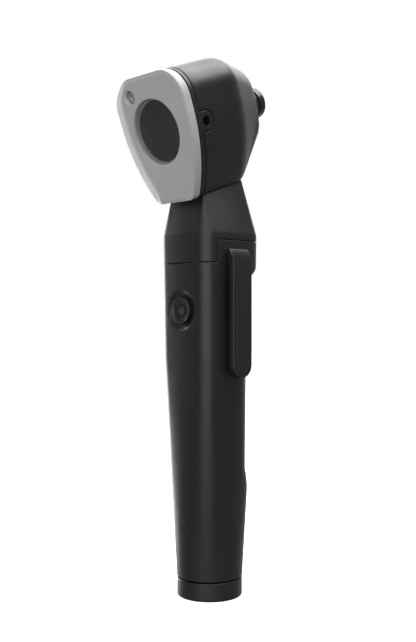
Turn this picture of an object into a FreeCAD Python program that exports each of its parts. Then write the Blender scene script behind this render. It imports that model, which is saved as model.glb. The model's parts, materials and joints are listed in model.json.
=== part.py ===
"""Pocket otoscope: AA handle, plug-on head, swivelling magnifier, push button, pocket clip and screw cap.

Millimetres. The origin is the centre of the end cap's flat bottom. +Z runs up the handle, -Y is the side
of the user's eye and of the button, +Y is the side of the ear tip, and +X is the side of the clip and the
air port. The head has a frame of its own: x as in the row, s forwards along the line of sight, and v up
along the face of the lens carrier. It is the row's frame leaned back by the head's tilt.
"""

import FreeCAD, Part
import math
import os
import Sketcher

doc = FreeCAD.newDocument("PocketOtoscope")
NODES = []

SHEET = [
    # handle
    ("cap_outer", 11.0, "radius of the screw cap"),
    ("cap_tall", 6.1, "height of the part of the cap that shows"),
    ("cap_edge", 0.8, "rounding of the cap's bottom edge"),
    ("handle_low", 6.65, "lower end of the handle shell"),
    ("waist_level", 80.0, "level where the handle's taper starts"),
    ("front_seam", 111.45, "top of the handle shell on the button side"),
    ("back_seam", 119.0, "top of the handle shell on the other three sides"),
    ("seam_step", -7.55, "place along Y of the step between the two seam levels"),
    ("collar_level", 121.3, "edge between the straight collar and the neck"),
    ("seam_gap", 0.26, "width of the gap lines between casings"),
    ("low_half", 10.95, "half the handle's width at its lower end"),
    ("low_crown", 11.5, "radius of its faces there"),
    ("low_corner", 10.2, "radius of its corners there"),
    ("waist_half", 12.8, "half the width at the waist"),
    ("waist_crown", 70.0, "radius of the faces at the waist"),
    ("waist_corner", 5.6, "radius of the corners at the waist"),
    ("top_half", 13.1, "half the width of the collar"),
    ("top_crown", 80.0, "radius of the collar's faces"),
    ("top_corner", 5.2, "radius of the collar's corners"),
    ("grip_top", 110.6, "upper end of the hollow of the grip on the back"),
    ("grip_low", 36.0, "lower end of the hollow of the grip"),
    ("bore", 8.3, "radius of the bore for the battery tube"),
    ("thread_bore", 8.95, "radius of the mouth that takes the screw cap"),
    ("thread_outer", 8.88, "radius of the cap's thread"),
    ("thread_top", 12.4, "upper end of the cap's thread"),
    ("socket_bore", 10.4, "radius of the bore that holds the socket ring"),
    ("socket_level", 108.6, "floor of the socket for the head"),
    ("cell_radius", 7.25, "radius of an AA cell"),
    ("cell_long", 50.5, "length of an AA cell with its stud"),
    ("cell_stud", 1.2, "height of the cell's stud"),
    ("cell_low", 7.5, "lower end of the lower cell"),
    # button
    ("button_level", 96.0, "height of the button's centre"),
    ("button_radius", 4.42, "radius of the button"),
    ("dish_radius", 6.75, "radius of the dish round the button"),
    ("dish_deep", 1.05, "depth of the dish"),
    ("wall_inside", 11.0, "distance from the axis to the inside of the wall behind the button"),
    # clip
    ("clip_half", 4.25, "half the clip's width"),
    ("clip_face", 16.2, "distance from the axis to the clip's outer face"),
    ("clip_back", 13.9, "distance from the axis to the clip's inner face"),
    ("clip_top", 115.9, "upper end of the clip"),
    ("clip_bend", 112.7, "level where the clip's top starts to slope"),
    ("clip_tip", 73.8, "lower end of the clip"),
    ("foot_level", 113.0, "height of the centre of the clip's foot"),
    # head
    ("tilt", 20.0, "degrees that the line of sight rises"),
    ("eye_y", -23.3, "place of the window's centre along Y"),
    ("eye_z", 153.4, "height of the window's centre"),
    ("face_half", 17.0, "half the width of the face"),
    ("face_top", 18.6, "height of the face above the window's centre"),
    ("face_shoulder", 9.6, "radius of the face's upper corners"),
    ("face_drop", 23.4, "depth of the face below the window's centre"),
    ("face_toe", 2.8, "radius of the face's lower corners"),
    ("face_bow", 53.0, "radius of the face's flanks"),
    ("bow_start", 5.0, "height where the flanks start to draw in"),
    ("carrier_thick", 3.3, "thickness of the lens carrier"),
    ("frame_front", 3.5, "front of the rear frame along s"),
    ("frame_back", 5.1, "back of the rear frame along s"),
    ("shell_start", 5.25, "start of the head housing along s"),
    ("ridge", 23.6, "end of the housing's straight part along s"),
    ("rim", 38.0, "front of the housing along s"),
    ("rim_half", 10.1, "half the width of the front rim"),
    ("rim_top", 13.5, "height of the front rim above the line of sight"),
    ("rim_shoulder", 8.9, "radius of the rim's upper corners"),
    ("rim_drop", 12.0, "depth of the front rim below the line of sight"),
    ("rim_toe", 7.0, "radius of the rim's lower corners"),
    ("rim_start", 2.0, "height where the rim's flanks start to draw in"),
    ("wall", 1.8, "wall of the head housing"),
    ("neck_half", 8.6, "half the width of the neck's upper end"),
    ("neck_start", 5.4, "start of the neck's upper end along s"),
    ("neck_end", 23.0, "end of the neck's upper end along s"),
    ("window", 10.8, "radius of the window in the lens carrier"),
    ("lens_radius", 11.5, "radius of the magnifier lens"),
    ("pivot_x", -8.5, "place of the pivot screw along X"),
    ("pivot_v", 12.6, "height of the pivot screw above the window's centre"),
    ("washer", 2.65, "radius of the washer behind the carrier"),
    ("port_v", -0.3, "height of the air port along the face"),
    ("port_s", 7.3, "place of the air port along s"),
    ("port_lobe", 3.2, "radius of the lobe round the air port"),
    ("port_bore", 1.6, "radius of the air port's bore"),
    ("seat_neck", 5.55, "radius of the ear-tip seat's neck"),
    ("seat_ring", 5.3, "radius of the ear-tip seat's end ring"),
    ("groove_radius", 4.6, "radius of the groove behind the end ring"),
    ("groove_start", 43.7, "rear of the groove along s"),
    ("groove_end", 45.0, "front of the groove along s"),
    ("seat_end", 47.7, "end of the ear-tip seat along s"),
    ("guide_bore", 3.4, "radius of the clear bore through the light guide"),
    ("guide_outer", 4.0, "outer radius of the light guide's ring"),
    ("sleeve_outer", 9.5, "outer radius of the plug sleeve"),
    ("sleeve_inner", 8.7, "inner radius of the plug sleeve"),
    ("plug_low", 111.0, "lower end of the plug sleeve"),
]


class Size:
    """A number that also knows the sheet expression that it comes from."""

    def __init__(self, text, value):
        self.text = text
        self.value = value

    def __add__(self, other):
        other = size(other)
        return Size(f"({self.text} + {other.text})", self.value + other.value)

    def __radd__(self, other):
        return size(other) + self

    def __sub__(self, other):
        other = size(other)
        return Size(f"({self.text} - {other.text})", self.value - other.value)

    def __rsub__(self, other):
        return size(other) - self

    def __mul__(self, other):
        other = size(other)
        return Size(f"({self.text} * {other.text})", self.value * other.value)

    def __rmul__(self, other):
        return size(other) * self

    def __neg__(self):
        return Size(f"(0 - {self.text})", -self.value)


class Sizes:
    """The sheet's cells, as attributes."""


def size(number):
    if isinstance(number, Size):
        return number
    return Size(f"({number})", float(number))


def sine(angle):
    return Size(f"sin({angle.text})", math.sin(math.radians(angle.value)))


def cosine(angle):
    return Size(f"cos({angle.text})", math.cos(math.radians(angle.value)))


def make_sheet():
    """Writes the driving dimensions into the sheet and returns them."""
    sheet = doc.addObject("Spreadsheet::Sheet", "Sizes")
    sizes = Sizes()
    for row, (alias, number, meaning) in enumerate(SHEET, start=1):
        sheet.set(f"A{row}", meaning)
        sheet.set(f"B{row}", str(number))
        sheet.setAlias(f"B{row}", alias)
        setattr(sizes, alias, Size(f"Sizes.{alias}", float(number)))
    doc.recompute()
    return sizes


S = make_sheet()
SIN = sine(S.tilt)
COS = cosine(S.tilt)
X_AXIS = FreeCAD.Vector(1, 0, 0)
Y_AXIS = FreeCAD.Vector(0, 1, 0)
Z_AXIS = FreeCAD.Vector(0, 0, 1)


# ---------------------------------------------------------------- placing


def bind(thing, path, number):
    thing.setExpression(path, size(number).text)


def move(thing, x=0, y=0, z=0, turn=None):
    """Places a thing in the row's frame. turn is a fixed rotation."""
    rotation = turn or FreeCAD.Rotation()
    base = FreeCAD.Vector(size(x).value, size(y).value, size(z).value)
    thing.Placement = FreeCAD.Placement(base, rotation)
    for path, number in (("x", x), ("y", y), ("z", z)):
        if size(number).value or isinstance(number, Size):
            bind(thing, "Placement.Base." + path, number)
    return thing


def head_point(x, s, v):
    """A point of the head's frame, in the row's frame."""
    return x, S.eye_y + COS * s - SIN * v, S.eye_z + SIN * s + COS * v


def move_on_head(thing, x=0, s=0, v=0, lean=0):
    """Places a thing in the head's frame. It leans back by the tilt and by lean degrees more."""
    angle = S.tilt + lean
    x, y, z = head_point(x, size(s), size(v))
    move(thing, x, y, z, FreeCAD.Rotation(X_AXIS, angle.value))
    bind(thing, "Placement.Rotation.Angle", angle)
    return thing


ALONG_SIGHT = -90  # lean that turns a thing's own Z axis forwards along the line of sight
FACING_USER = 90  # lean that lays a sketch on the face: its x is the head's x and its y is v


# ---------------------------------------------------------------- sketches


def attach(sketch, body, role):
    plane = [feature for feature in body.Origin.OriginFeatures if feature.Role == role][0]
    sketch.AttachmentSupport = (plane, [""])
    sketch.MapMode = "FlatFace"


def constrain(sketch, number, kind, *where):
    """Adds a dimension to a sketch and binds it to the number's expression."""
    number = size(number)
    index = sketch.addConstraint(Sketcher.Constraint(kind, *where, number.value))
    sketch.setExpression(f"Constraints[{index}]", number.text)


def pin_point(sketch, geometry, end, x, y):
    """Fixes one end of a piece of geometry at (x, y)."""
    for kind, number, axis in (("DistanceX", size(x), -2), ("DistanceY", size(y), -1)):
        if abs(number.value) < 1e-9:
            sketch.addConstraint(Sketcher.Constraint("PointOnObject", geometry, end, axis))
        elif number.value > 0:
            constrain(sketch, number, kind, -1, 1, geometry, end)
        else:
            constrain(sketch, -number, kind, geometry, end, -1, 1)


def outline(sketch, corners):
    """A closed outline with straight edges."""
    count = len(corners)
    points = [FreeCAD.Vector(size(x).value, size(y).value, 0) for x, y in corners]
    for i in range(count):
        sketch.addGeometry(Part.LineSegment(points[i], points[(i + 1) % count]), False)
    for i in range(count):
        sketch.addConstraint(Sketcher.Constraint("Coincident", i, 2, (i + 1) % count, 1))
    for i, (x, y) in enumerate(corners):
        pin_point(sketch, i, 1, x, y)


def arc(x, y, radius, start, end):
    """An arc between two angles in degrees."""
    circle = Part.Circle(FreeCAD.Vector(x, y, 0), Z_AXIS, radius)
    return Part.ArcOfCircle(circle, math.radians(start), math.radians(end))


def line(x1, y1, x2, y2):
    return Part.LineSegment(FreeCAD.Vector(x1, y1, 0), FreeCAD.Vector(x2, y2, 0))


def join_smoothly(sketch, count):
    """Makes a ring of pieces meet end to start with one tangent."""
    for i in range(count):
        sketch.addConstraint(Sketcher.Constraint("Tangent", i, 2, (i + 1) % count, 1))


def crowned_square(name, half, crown, corner):
    """A square with slightly round faces and round corners, centred on the sketch's origin."""
    sketch = doc.addObject("Sketcher::SketchObject", name)
    half, crown, corner = size(half), size(crown), size(corner)
    back = half.value - crown.value
    reach = crown.value - corner.value
    centre = (back + math.sqrt(2 * reach * reach - back * back)) / 2
    swing = math.degrees(math.atan2(centre, centre - back))
    for quarter in range(4):
        turn = 90 * quarter
        way = math.radians(turn)
        face = arc(back * math.cos(way), back * math.sin(way), crown.value, turn - swing, turn + swing)
        sketch.addGeometry(face, False)
        way = math.radians(turn + 45)
        away = centre * math.sqrt(2)
        bend = arc(away * math.cos(way), away * math.sin(way), corner.value, turn + swing, turn + 90 - swing)
        sketch.addGeometry(bend, False)
    join_smoothly(sketch, 8)
    for quarter in range(4):
        constrain(sketch, crown, "Radius", 2 * quarter)
        constrain(sketch, corner, "Radius", 2 * quarter + 1)
    near, far = half - crown, crown - half
    for quarter, (x, y) in enumerate(((near, 0), (0, near), (far, 0), (0, far))):
        pin_point(sketch, 2 * quarter, 3, x, y)
    return sketch


def rounded_rectangle(name, half, low, high, corner):
    """A rectangle from -half to half and from low to high, with round corners, starting at its right side."""
    sketch = doc.addObject("Sketcher::SketchObject", name)
    half, low, high, corner = size(half), size(low), size(high), size(corner)
    w, b, t, r = half.value, low.value, high.value, corner.value
    pieces = [
        line(w, b + r, w, t - r),
        arc(w - r, t - r, r, 0, 90),
        line(w - r, t, r - w, t),
        arc(r - w, t - r, r, 90, 180),
        line(-w, t - r, -w, b + r),
        arc(r - w, b + r, r, 180, 270),
        line(r - w, b, w - r, b),
        arc(w - r, b + r, r, 270, 360),
    ]
    for piece in pieces:
        sketch.addGeometry(piece, False)
    join_smoothly(sketch, 8)
    for i in (1, 3, 5, 7):
        constrain(sketch, corner, "Radius", i)
    for i, way in ((0, "Vertical"), (2, "Horizontal"), (4, "Vertical"), (6, "Horizontal")):
        sketch.addConstraint(Sketcher.Constraint(way, i))
    constrain(sketch, half, "DistanceX", -1, 1, 0, 1)
    constrain(sketch, half, "DistanceX", 4, 1, -1, 1)
    constrain(sketch, high, "DistanceY", -1, 1, 2, 1)
    constrain(sketch, low, "DistanceY", -1, 1, 6, 1)
    return sketch


def shield(sketch, half, top, shoulder, drop, toe, bow, start):
    """The face's outline: round shoulders, flanks that draw in downwards and a short flat foot."""
    half, top, shoulder, drop = size(half), size(top), size(shoulder), size(drop)
    toe, bow, start = size(toe), size(bow), size(start)
    w, t, r, b, q, far, y = (n.value for n in (half, top, shoulder, drop, toe, bow, start))
    heel = (w - far) + math.sqrt((far - q) ** 2 - (q - b - y) ** 2)
    low = math.degrees(math.atan2(q - b - y, heel - (w - far)))
    pieces = [
        line(w, y, w, t - r),
        arc(w - r, t - r, r, 0, 90),
        line(w - r, t, r - w, t),
        arc(r - w, t - r, r, 90, 180),
        line(-w, t - r, -w, y),
        arc(far - w, y, far, 180, 180 - low),
        arc(-heel, q - b, q, 180 - low, 270),
        line(-heel, -b, heel, -b),
        arc(heel, q - b, q, 270, 360 + low),
        arc(w - far, y, far, 360 + low, 360),
    ]
    for piece in pieces:
        sketch.addGeometry(piece, False)
    join_smoothly(sketch, 10)
    for i, radius in ((1, shoulder), (3, shoulder), (5, bow), (6, toe), (8, toe), (9, bow)):
        constrain(sketch, radius, "Radius", i)
    for i, way in ((0, "Vertical"), (2, "Horizontal"), (4, "Vertical"), (7, "Horizontal")):
        sketch.addConstraint(Sketcher.Constraint(way, i))
    constrain(sketch, half, "DistanceX", -1, 1, 0, 1)
    constrain(sketch, half, "DistanceX", 4, 1, -1, 1)
    constrain(sketch, top, "DistanceY", -1, 1, 2, 1)
    constrain(sketch, drop, "DistanceY", 7, 1, -1, 1)
    constrain(sketch, start, "DistanceY", -1, 1, 5, 3)
    constrain(sketch, start, "DistanceY", -1, 1, 9, 3)
    return sketch


def face_shield(sketch, inset=0):
    """The outline that the lens carrier, the rear frame and the housing share, drawn in by inset."""
    inset = size(inset)
    return shield(
        sketch,
        S.face_half - inset,
        S.face_top - inset,
        S.face_shoulder - inset,
        S.face_drop - inset,
        S.face_toe - inset,
        S.face_bow - inset,
        S.bow_start,
    )


def rim_shield(sketch, inset=0):
    """The outline of the housing's front rim, drawn in by inset."""
    inset = size(inset)
    return shield(
        sketch,
        S.rim_half - inset,
        S.rim_top - inset,
        S.rim_shoulder - inset,
        S.rim_drop - inset,
        S.rim_toe - inset,
        S.face_bow - inset,
        S.rim_start,
    )


# ---------------------------------------------------------------- solids


def cylinder(name, radius, tall):
    thing = doc.addObject("Part::Cylinder", name)
    bind(thing, "Radius", radius)
    bind(thing, "Height", tall)
    return thing


def block(name, long, wide, tall):
    thing = doc.addObject("Part::Box", name)
    bind(thing, "Length", long)
    bind(thing, "Width", wide)
    bind(thing, "Height", tall)
    return thing


def centred_block(name, half_x, y_low, y_high, z_low, z_high):
    """A block that is symmetric about X = 0, in the row's frame."""
    half_x, y_low, y_high, z_low, z_high = (size(n) for n in (half_x, y_low, y_high, z_low, z_high))
    thing = block(name, 2 * half_x, y_high - y_low, z_high - z_low)
    return move(thing, -half_x, y_low, z_low)


def cut(name, base, *tools):
    thing = doc.addObject("Part::Cut", name)
    thing.Base = base
    thing.Tool = tools[0] if len(tools) == 1 else fuse(name + "_tools", *tools)
    return thing


def fuse(name, *parts):
    thing = doc.addObject("Part::MultiFuse", name)
    thing.Shapes = list(parts)
    return thing


def common(name, *parts):
    thing = doc.addObject("Part::MultiCommon", name)
    thing.Shapes = list(parts)
    return thing


def loft(name, *sections):
    thing = doc.addObject("Part::Loft", name)
    thing.Sections = list(sections)
    thing.Solid = True
    thing.Ruled = True
    return thing


def extrude(name, sketch, long):
    thing = doc.addObject("Part::Extrusion", name)
    thing.Base = sketch
    thing.DirMode = "Normal"
    thing.Solid = True
    thing.FaceMakerClass = "Part::FaceMakerBullseye"
    bind(thing, "LengthFwd", long)
    return thing


def shield_slab(name, draw, inset, start, end):
    """A slab of the head between two places along s. draw makes its outline."""
    sketch = doc.addObject("Sketcher::SketchObject", name + "_outline")
    draw(sketch, inset)
    move_on_head(sketch, s=end, lean=FACING_USER)
    return extrude(name, sketch, size(end) - start)


def shield_loft(name, first, second):
    """A tapered stretch of the head. first and second are (draw, inset, place along s)."""
    sections = []
    for end, (draw, inset, place) in enumerate((first, second)):
        sketch = doc.addObject("Sketcher::SketchObject", f"{name}_outline_{end}")
        draw(sketch, inset)
        sections.append(move_on_head(sketch, s=place, lean=FACING_USER))
    return loft(name, *sections)


def turned(name, profile):
    """A body turned about its own Z axis from a closed outline of (radius, height) corners."""
    body = doc.addObject("PartDesign::Body", name)
    sketch = body.newObject("Sketcher::SketchObject", name + "_profile")
    attach(sketch, body, "XZ_Plane")
    outline(sketch, profile)
    turn = body.newObject("PartDesign::Revolution", name + "_turn")
    turn.Profile = sketch
    turn.ReferenceAxis = (sketch, ["V_Axis"])
    turn.Angle = 360
    return body


def ring(name, inner, outer, tall):
    return turned(name, [(inner, 0), (outer, 0), (outer, tall), (inner, tall)])


def padded(name, corners, tall, role="XY_Plane"):
    """A body padded from an outline with straight edges on one of its own planes."""
    body = doc.addObject("PartDesign::Body", name)
    sketch = body.newObject("Sketcher::SketchObject", name + "_outline")
    attach(sketch, body, role)
    outline(sketch, corners)
    pad = body.newObject("PartDesign::Pad", name + "_pad")
    pad.Profile = sketch
    bind(pad, "Length", tall)
    return body


def round_edges(body, radius, wanted):
    """Rounds the edges of a body for which wanted(edge) holds."""
    doc.recompute()
    base = body.Tip
    names = [f"Edge{i}" for i, edge in enumerate(base.Shape.Edges, start=1) if wanted(edge)]
    fillet = body.newObject("PartDesign::Fillet", body.Name + "_rounding")
    fillet.Base = (base, names)
    bind(fillet, "Radius", radius)
    return body


def node(name, thing):
    """Marks a finished sub-part, which is written to a file of that name."""
    thing.Label = name
    NODES.append(thing)
    return thing


# ---------------------------------------------------------------- handle


def handle_section(name, level, half, crown, corner, inset=0):
    sketch = crowned_square(name, size(half) - inset, size(crown) - inset, size(corner) - inset)
    return move(sketch, z=level)


def oval(name, level, wide, deep):
    """An upright oval section of the grip, wide along X."""
    thing = doc.addObject("Part::Ellipse", name)
    bind(thing, "MajorRadius", wide)
    bind(thing, "MinorRadius", deep)
    return move(thing, z=level)


def grip_hollow():
    """What the grip's hollow takes off the back of the handle: all that is outside an upright oval."""
    slope = 5.1
    core = loft(
        "grip_core",
        oval("grip_oval_low", S.grip_low, 13.4, 13.0),
        oval("grip_oval_run_out", S.grip_low + 7, 12.7, 11.3),
        oval("grip_oval_upper", S.grip_top - slope, 13.2, 11.7),
        oval("grip_oval_top", S.grip_top, 17.0, 15.8),
    )
    back = centred_block("grip_zone", 20, 0, 20, S.grip_low, S.grip_top)
    return cut("grip_hollow", back, core)


def step_profile(name, low, high, step, half):
    """A block in front of the seam's step, from low to high, as wide as the handle."""
    return centred_block(name, half, -20, step, low, high)


def clip_window():
    """The slot in the handle's wall that the clip's foot passes through, and the pocket behind it."""
    slot = block("clip_slot", 3, 6.6, 5.0)
    move(slot, 11.0, -3.3, S.foot_level - 2.5)
    pocket = block("clip_pocket", 3.35, 9.0, 7.2)
    move(pocket, 8.5, -4.5, S.foot_level - 3.6)
    return fuse("clip_window", slot, pocket)


def handle_shell():
    body = loft(
        "handle_body",
        handle_section("handle_section_low", S.handle_low, S.low_half, S.low_crown, S.low_corner),
        handle_section("handle_section_waist", S.waist_level, S.waist_half, S.waist_crown, S.waist_corner),
        handle_section("handle_section_top", S.back_seam, S.top_half, S.top_crown, S.top_corner),
    )
    front = step_profile("handle_front_cut", S.front_seam, S.back_seam + 1, S.seam_step, 20)
    bore = cylinder("handle_bore", S.bore, S.socket_level - S.handle_low)
    move(bore, z=S.handle_low)
    mouth = cylinder("handle_mouth", S.thread_bore, S.thread_top + 0.4 - S.handle_low + 1)
    move(mouth, z=S.handle_low - 1)
    socket = cylinder("handle_socket", S.socket_bore, S.back_seam + 1 - S.socket_level)
    move(socket, z=S.socket_level)
    electronics = centred_block("handle_pocket", 5.6, -S.wall_inside, -6, 84, S.socket_level + 2)
    button_hole = cylinder("button_hole", S.button_radius + 0.1, 4)
    move(button_hole, 0, -14, S.button_level, FreeCAD.Rotation(X_AXIS, -90))
    dish = doc.addObject("Part::Cone", "button_dish")
    bind(dish, "Radius1", S.dish_radius)
    bind(dish, "Radius2", S.button_radius + 0.6)
    bind(dish, "Height", S.dish_deep)
    move(dish, 0, -S.top_half + 0.08, S.button_level, FreeCAD.Rotation(X_AXIS, -90))
    shell = cut(
        "handle_shell_cut",
        body,
        front,
        bore,
        mouth,
        socket,
        electronics,
        button_hole,
        dish,
        grip_hollow(),
        clip_window(),
    )
    node("handle_shell", shell)


def battery_tube():
    tube = ring("battery_tube", 7.45, S.bore - 0.05, 95)
    node("battery_tube", move(tube, z=13))


def battery_cell(name, level):
    top = S.cell_long - S.cell_stud
    stud = 2.7
    corners = [(0, 0), (S.cell_radius, 0), (S.cell_radius, top)]
    corners += [(stud, top), (stud, S.cell_long), (0, S.cell_long)]
    node(name, move(turned(name, corners), z=level))


def socket_ring():
    thing = ring("socket_ring", S.sleeve_outer + 0.08, S.socket_bore, 8.2)
    node("socket_ring", move(thing, z=110.65))


def contact_insulator():
    thing = cylinder("contact_insulator", 9.1, 1.1)
    node("contact_insulator", move(thing, z=S.socket_level + 0.3))


def contact_strip(name, side_low, side_wide, top):
    """A bent strip: down the switch board, then across to the handle's axis."""
    thick = 0.35
    leg = block(name + "_leg", side_wide, thick, size(top) - 103)
    move(leg, side_low, -9.6, 103)
    arm = block(name + "_arm", side_wide, 9.6 + 1.5, thick)
    move(arm, side_low, -9.6, size(top) - thick)
    tongue = cylinder(name + "_tongue", 2.2, thick)
    move(tongue, 0, 0, size(top) - thick)
    bridge = block(name + "_bridge", abs(side_low) + side_wide, 2, thick)
    move(bridge, min(side_low, 0), -1, size(top) - thick)
    node(name, fuse(name + "_strip", leg, arm, tongue, bridge))


def switch_board():
    board = centred_block("switch_board", 5.2, -9.2, -8.6, 86, 107)
    node("switch_board", board)
    switch = centred_block("tact_switch", 2.6, -9.75, -9.2, S.button_level - 2.6, S.button_level + 2.6)
    node("tact_switch", switch)


def power_button():
    """The push button, turned about the line through it, with a raised rim and a collar inside the wall."""
    deep = 2.0
    rim = 0.3
    collar = S.button_radius + 0.7
    corners = [
        (0, rim),
        (S.button_radius - 0.75, rim),
        (S.button_radius - 0.55, 0),
        (S.button_radius - 0.15, 0),
        (S.button_radius, 0.15),
        (S.button_radius, deep),
        (collar, deep),
        (collar, deep + 0.55),
        (0, deep + 0.55),
    ]
    body = turned("power_button", corners)
    move(body, 0, -S.wall_inside - deep + 0.08, S.button_level, FreeCAD.Rotation(X_AXIS, -90))
    node("power_button", body)


# ---------------------------------------------------------------- clip


def clip():
    """A stiff arm with a sloping top and a round tip. Its foot plate sits behind the handle's wall."""
    slope = [
        (S.clip_back, S.clip_tip),
        (S.clip_face, S.clip_tip),
        (S.clip_face, S.clip_bend),
        (13.7, S.clip_top),
        (13.42, S.clip_top),
        (13.42, 111.6),
        (S.clip_back, 110.4),
    ]
    arm = padded("clip_arm", slope, 2 * S.clip_half, role="XZ_Plane")
    move(arm, y=S.clip_half)
    outer = block("clip_tip_zone", 6, 12, S.clip_half)
    move(outer, S.clip_back - 2, -6, S.clip_tip - 0.01)
    disc = cylinder("clip_tip_disc", S.clip_half, 8)
    move(disc, S.clip_back - 3, 0, S.clip_tip + S.clip_half, FreeCAD.Rotation(Y_AXIS, 90))
    rounded = cut("clip_rounded", arm, cut("clip_tip_waste", outer, disc))
    neck = block("clip_neck", 2.6, 6.0, 4.2)
    move(neck, 11.2, -3.0, S.foot_level - 2.1)
    plate = block("clip_plate", 0.7, 8.4, 6.6)
    move(plate, 10.75, -4.2, S.foot_level - 3.3)
    node("pocket_clip", fuse("clip_whole", rounded, neck, plate))


# ---------------------------------------------------------------- end cap


def end_cap():
    """The screw cap: a cup that shows below the handle and a threaded spigot with a groove for its seal."""
    inside = 7.4
    groove_low = 6.75
    groove_high = 7.95
    groove = 7.8
    corners = [
        (0, 0),
        (S.cap_outer, 0),
        (S.cap_outer, S.cap_tall),
        (S.thread_outer, S.cap_tall),
        (S.thread_outer, groove_low),
        (groove, groove_low),
        (groove, groove_high),
        (S.thread_outer, groove_high),
        (S.thread_outer, S.thread_top),
        (inside, S.thread_top),
        (inside, 2.2),
        (0, 2.2),
    ]
    body = turned("end_cap", corners)
    round_edges(body, S.cap_edge, lambda edge: edge.BoundBox.ZMax < 1e-6 and edge.BoundBox.XMax > 10)
    node("end_cap", body)
    node("cap_contact", move(cylinder("cap_contact", 5.4, 0.4), z=2.2))


def cap_o_ring():
    seal = doc.addObject("Part::Torus", "cap_o_ring")
    bind(seal, "Radius1", 8.37)
    bind(seal, "Radius2", 0.54)
    node("cap_o_ring", move(seal, z=7.35))


def battery_spring():
    """The coil spring between the cap's contact and the lower cell."""
    wire = 0.35
    coil = 4.6
    low = 2.6 + wire
    tall = 4.16
    path = doc.addObject("Part::Helix", "spring_path")
    path.Pitch = 1.3
    path.Height = tall
    path.Radius = coil
    path.SegmentLength = 1
    move(path, z=low)
    section = doc.addObject("Part::Circle", "spring_wire")
    section.Radius = wire
    move(section, coil, 0, low, FreeCAD.Rotation(X_AXIS, 90))
    doc.recompute()
    spring = doc.addObject("Part::Sweep", "battery_spring")
    spring.Sections = [section]
    spring.Spine = (path, [f"Edge{i}" for i in range(1, len(path.Shape.Edges) + 1)])
    spring.Solid = True
    spring.Frenet = True
    node("battery_spring", spring)


# ---------------------------------------------------------------- head casing


def neck_section(name, drop, half, start, end, corner):
    """A section of the neck that lies along the bottom of the housing."""
    sketch = rounded_rectangle(name, half, start, end, corner)
    return move_on_head(sketch, v=drop)


def collar_section(name, level, inset=0):
    return handle_section(name, level, S.top_half, S.top_crown, S.top_corner, inset)


def neck_outside():
    return loft(
        "neck_outside",
        collar_section("neck_section_low", S.collar_level),
        neck_section(
            "neck_section_high", -S.face_drop + 0.6, S.neck_half - 0.18, S.neck_start + 0.1, S.neck_end, 0.9
        ),
    )


def neck_inside():
    return loft(
        "neck_inside",
        collar_section("neck_hollow_low", S.collar_level + 2.7, 3.6),
        neck_section("neck_hollow_high", -S.face_drop + 3.0, 6.4, S.neck_start + 2.2, S.neck_end - 2.4, 0.9),
    )


def collar():
    """The straight part of the head's foot, with a longer apron on the button side."""
    bottom = S.front_seam + S.seam_gap
    outside = loft(
        "collar_outside",
        collar_section("collar_section_low", bottom),
        collar_section("collar_section_high", S.collar_level + 0.01),
    )
    behind = centred_block(
        "collar_back_cut", 20, S.seam_step - S.seam_gap, 20, bottom - 1, S.back_seam + S.seam_gap
    )
    hollow = cylinder("collar_hollow", S.socket_bore + 0.2, S.collar_level - 1.2 - bottom + 1)
    move(hollow, z=bottom - 1)
    return cut("collar", outside, behind, hollow)


SCREW_PLACES = ((13.8, 9.0), (-13.8, 9.0), (8.3, -19.6), (-8.3, -19.6))


def screw_rows(name, radius, start, end):
    """A cylinder at each of the rear frame's screws, between two places along s."""
    rods = []
    for i, (x, v) in enumerate(SCREW_PLACES):
        rod = cylinder(f"{name}_{i}", radius, size(end) - start)
        rods.append(move_on_head(rod, x, start, v, ALONG_SIGHT))
    return rods


def lobe(name, grow, x_low, x_high):
    """The tongue of the rear frame that carries the air port, grown by a gap all round."""
    radius = S.port_lobe + grow
    long = size(x_high) - x_low
    round_end = cylinder(name + "_round", radius, long)
    x, y, z = head_point(size(x_low), S.port_s, S.port_v)
    move(round_end, x, y, z, FreeCAD.Rotation(Y_AXIS, 90))
    stem = block(name + "_stem", long, S.port_s - 4.2, 2 * radius)
    move_on_head(stem, x_low, 4.2, S.port_v - radius)
    return fuse(name, round_end, stem)


def head_housing():
    """Barrel, tapered nose, neck and collar in one casing."""
    barrel = shield_slab("barrel_outside", face_shield, 0, S.shell_start, S.ridge)
    nose = shield_loft("nose_outside", (face_shield, 0, S.ridge - 0.01), (rim_shield, 0, S.rim))
    barrel_hollow = shield_slab("barrel_hollow", face_shield, S.wall, S.shell_start - 1, S.ridge - 1.0)
    nose_hollow = shield_loft(
        "nose_hollow", (face_shield, S.wall, S.ridge - 1.1), (rim_shield, S.wall, S.rim - S.wall)
    )
    posts = common(
        "screw_posts",
        shield_slab("post_zone", face_shield, 0.4, S.shell_start, 13),
        fuse("screw_columns", *screw_rows("column", 2.0, S.shell_start, 13)),
    )
    sleeve_hole = cylinder("sleeve_hole", S.sleeve_outer, 6)
    move(sleeve_hole, z=S.collar_level - 2)
    seat_hole = cylinder("seat_hole", 5.2, 6)
    move_on_head(seat_hole, s=S.rim - 4, lean=ALONG_SIGHT)
    hollow = cut(
        "head_hollowed",
        fuse("head_outside", barrel, nose, neck_outside(), collar()),
        barrel_hollow,
        nose_hollow,
        neck_inside(),
        sleeve_hole,
        seat_hole,
        lobe("lobe_room", 0.12, 12.0, 18),
    )
    threads = screw_rows("thread", 0.8, S.shell_start - 1, 12)
    node("head_housing", cut("head_whole", fuse("head_with_posts", hollow, posts), *threads))


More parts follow.
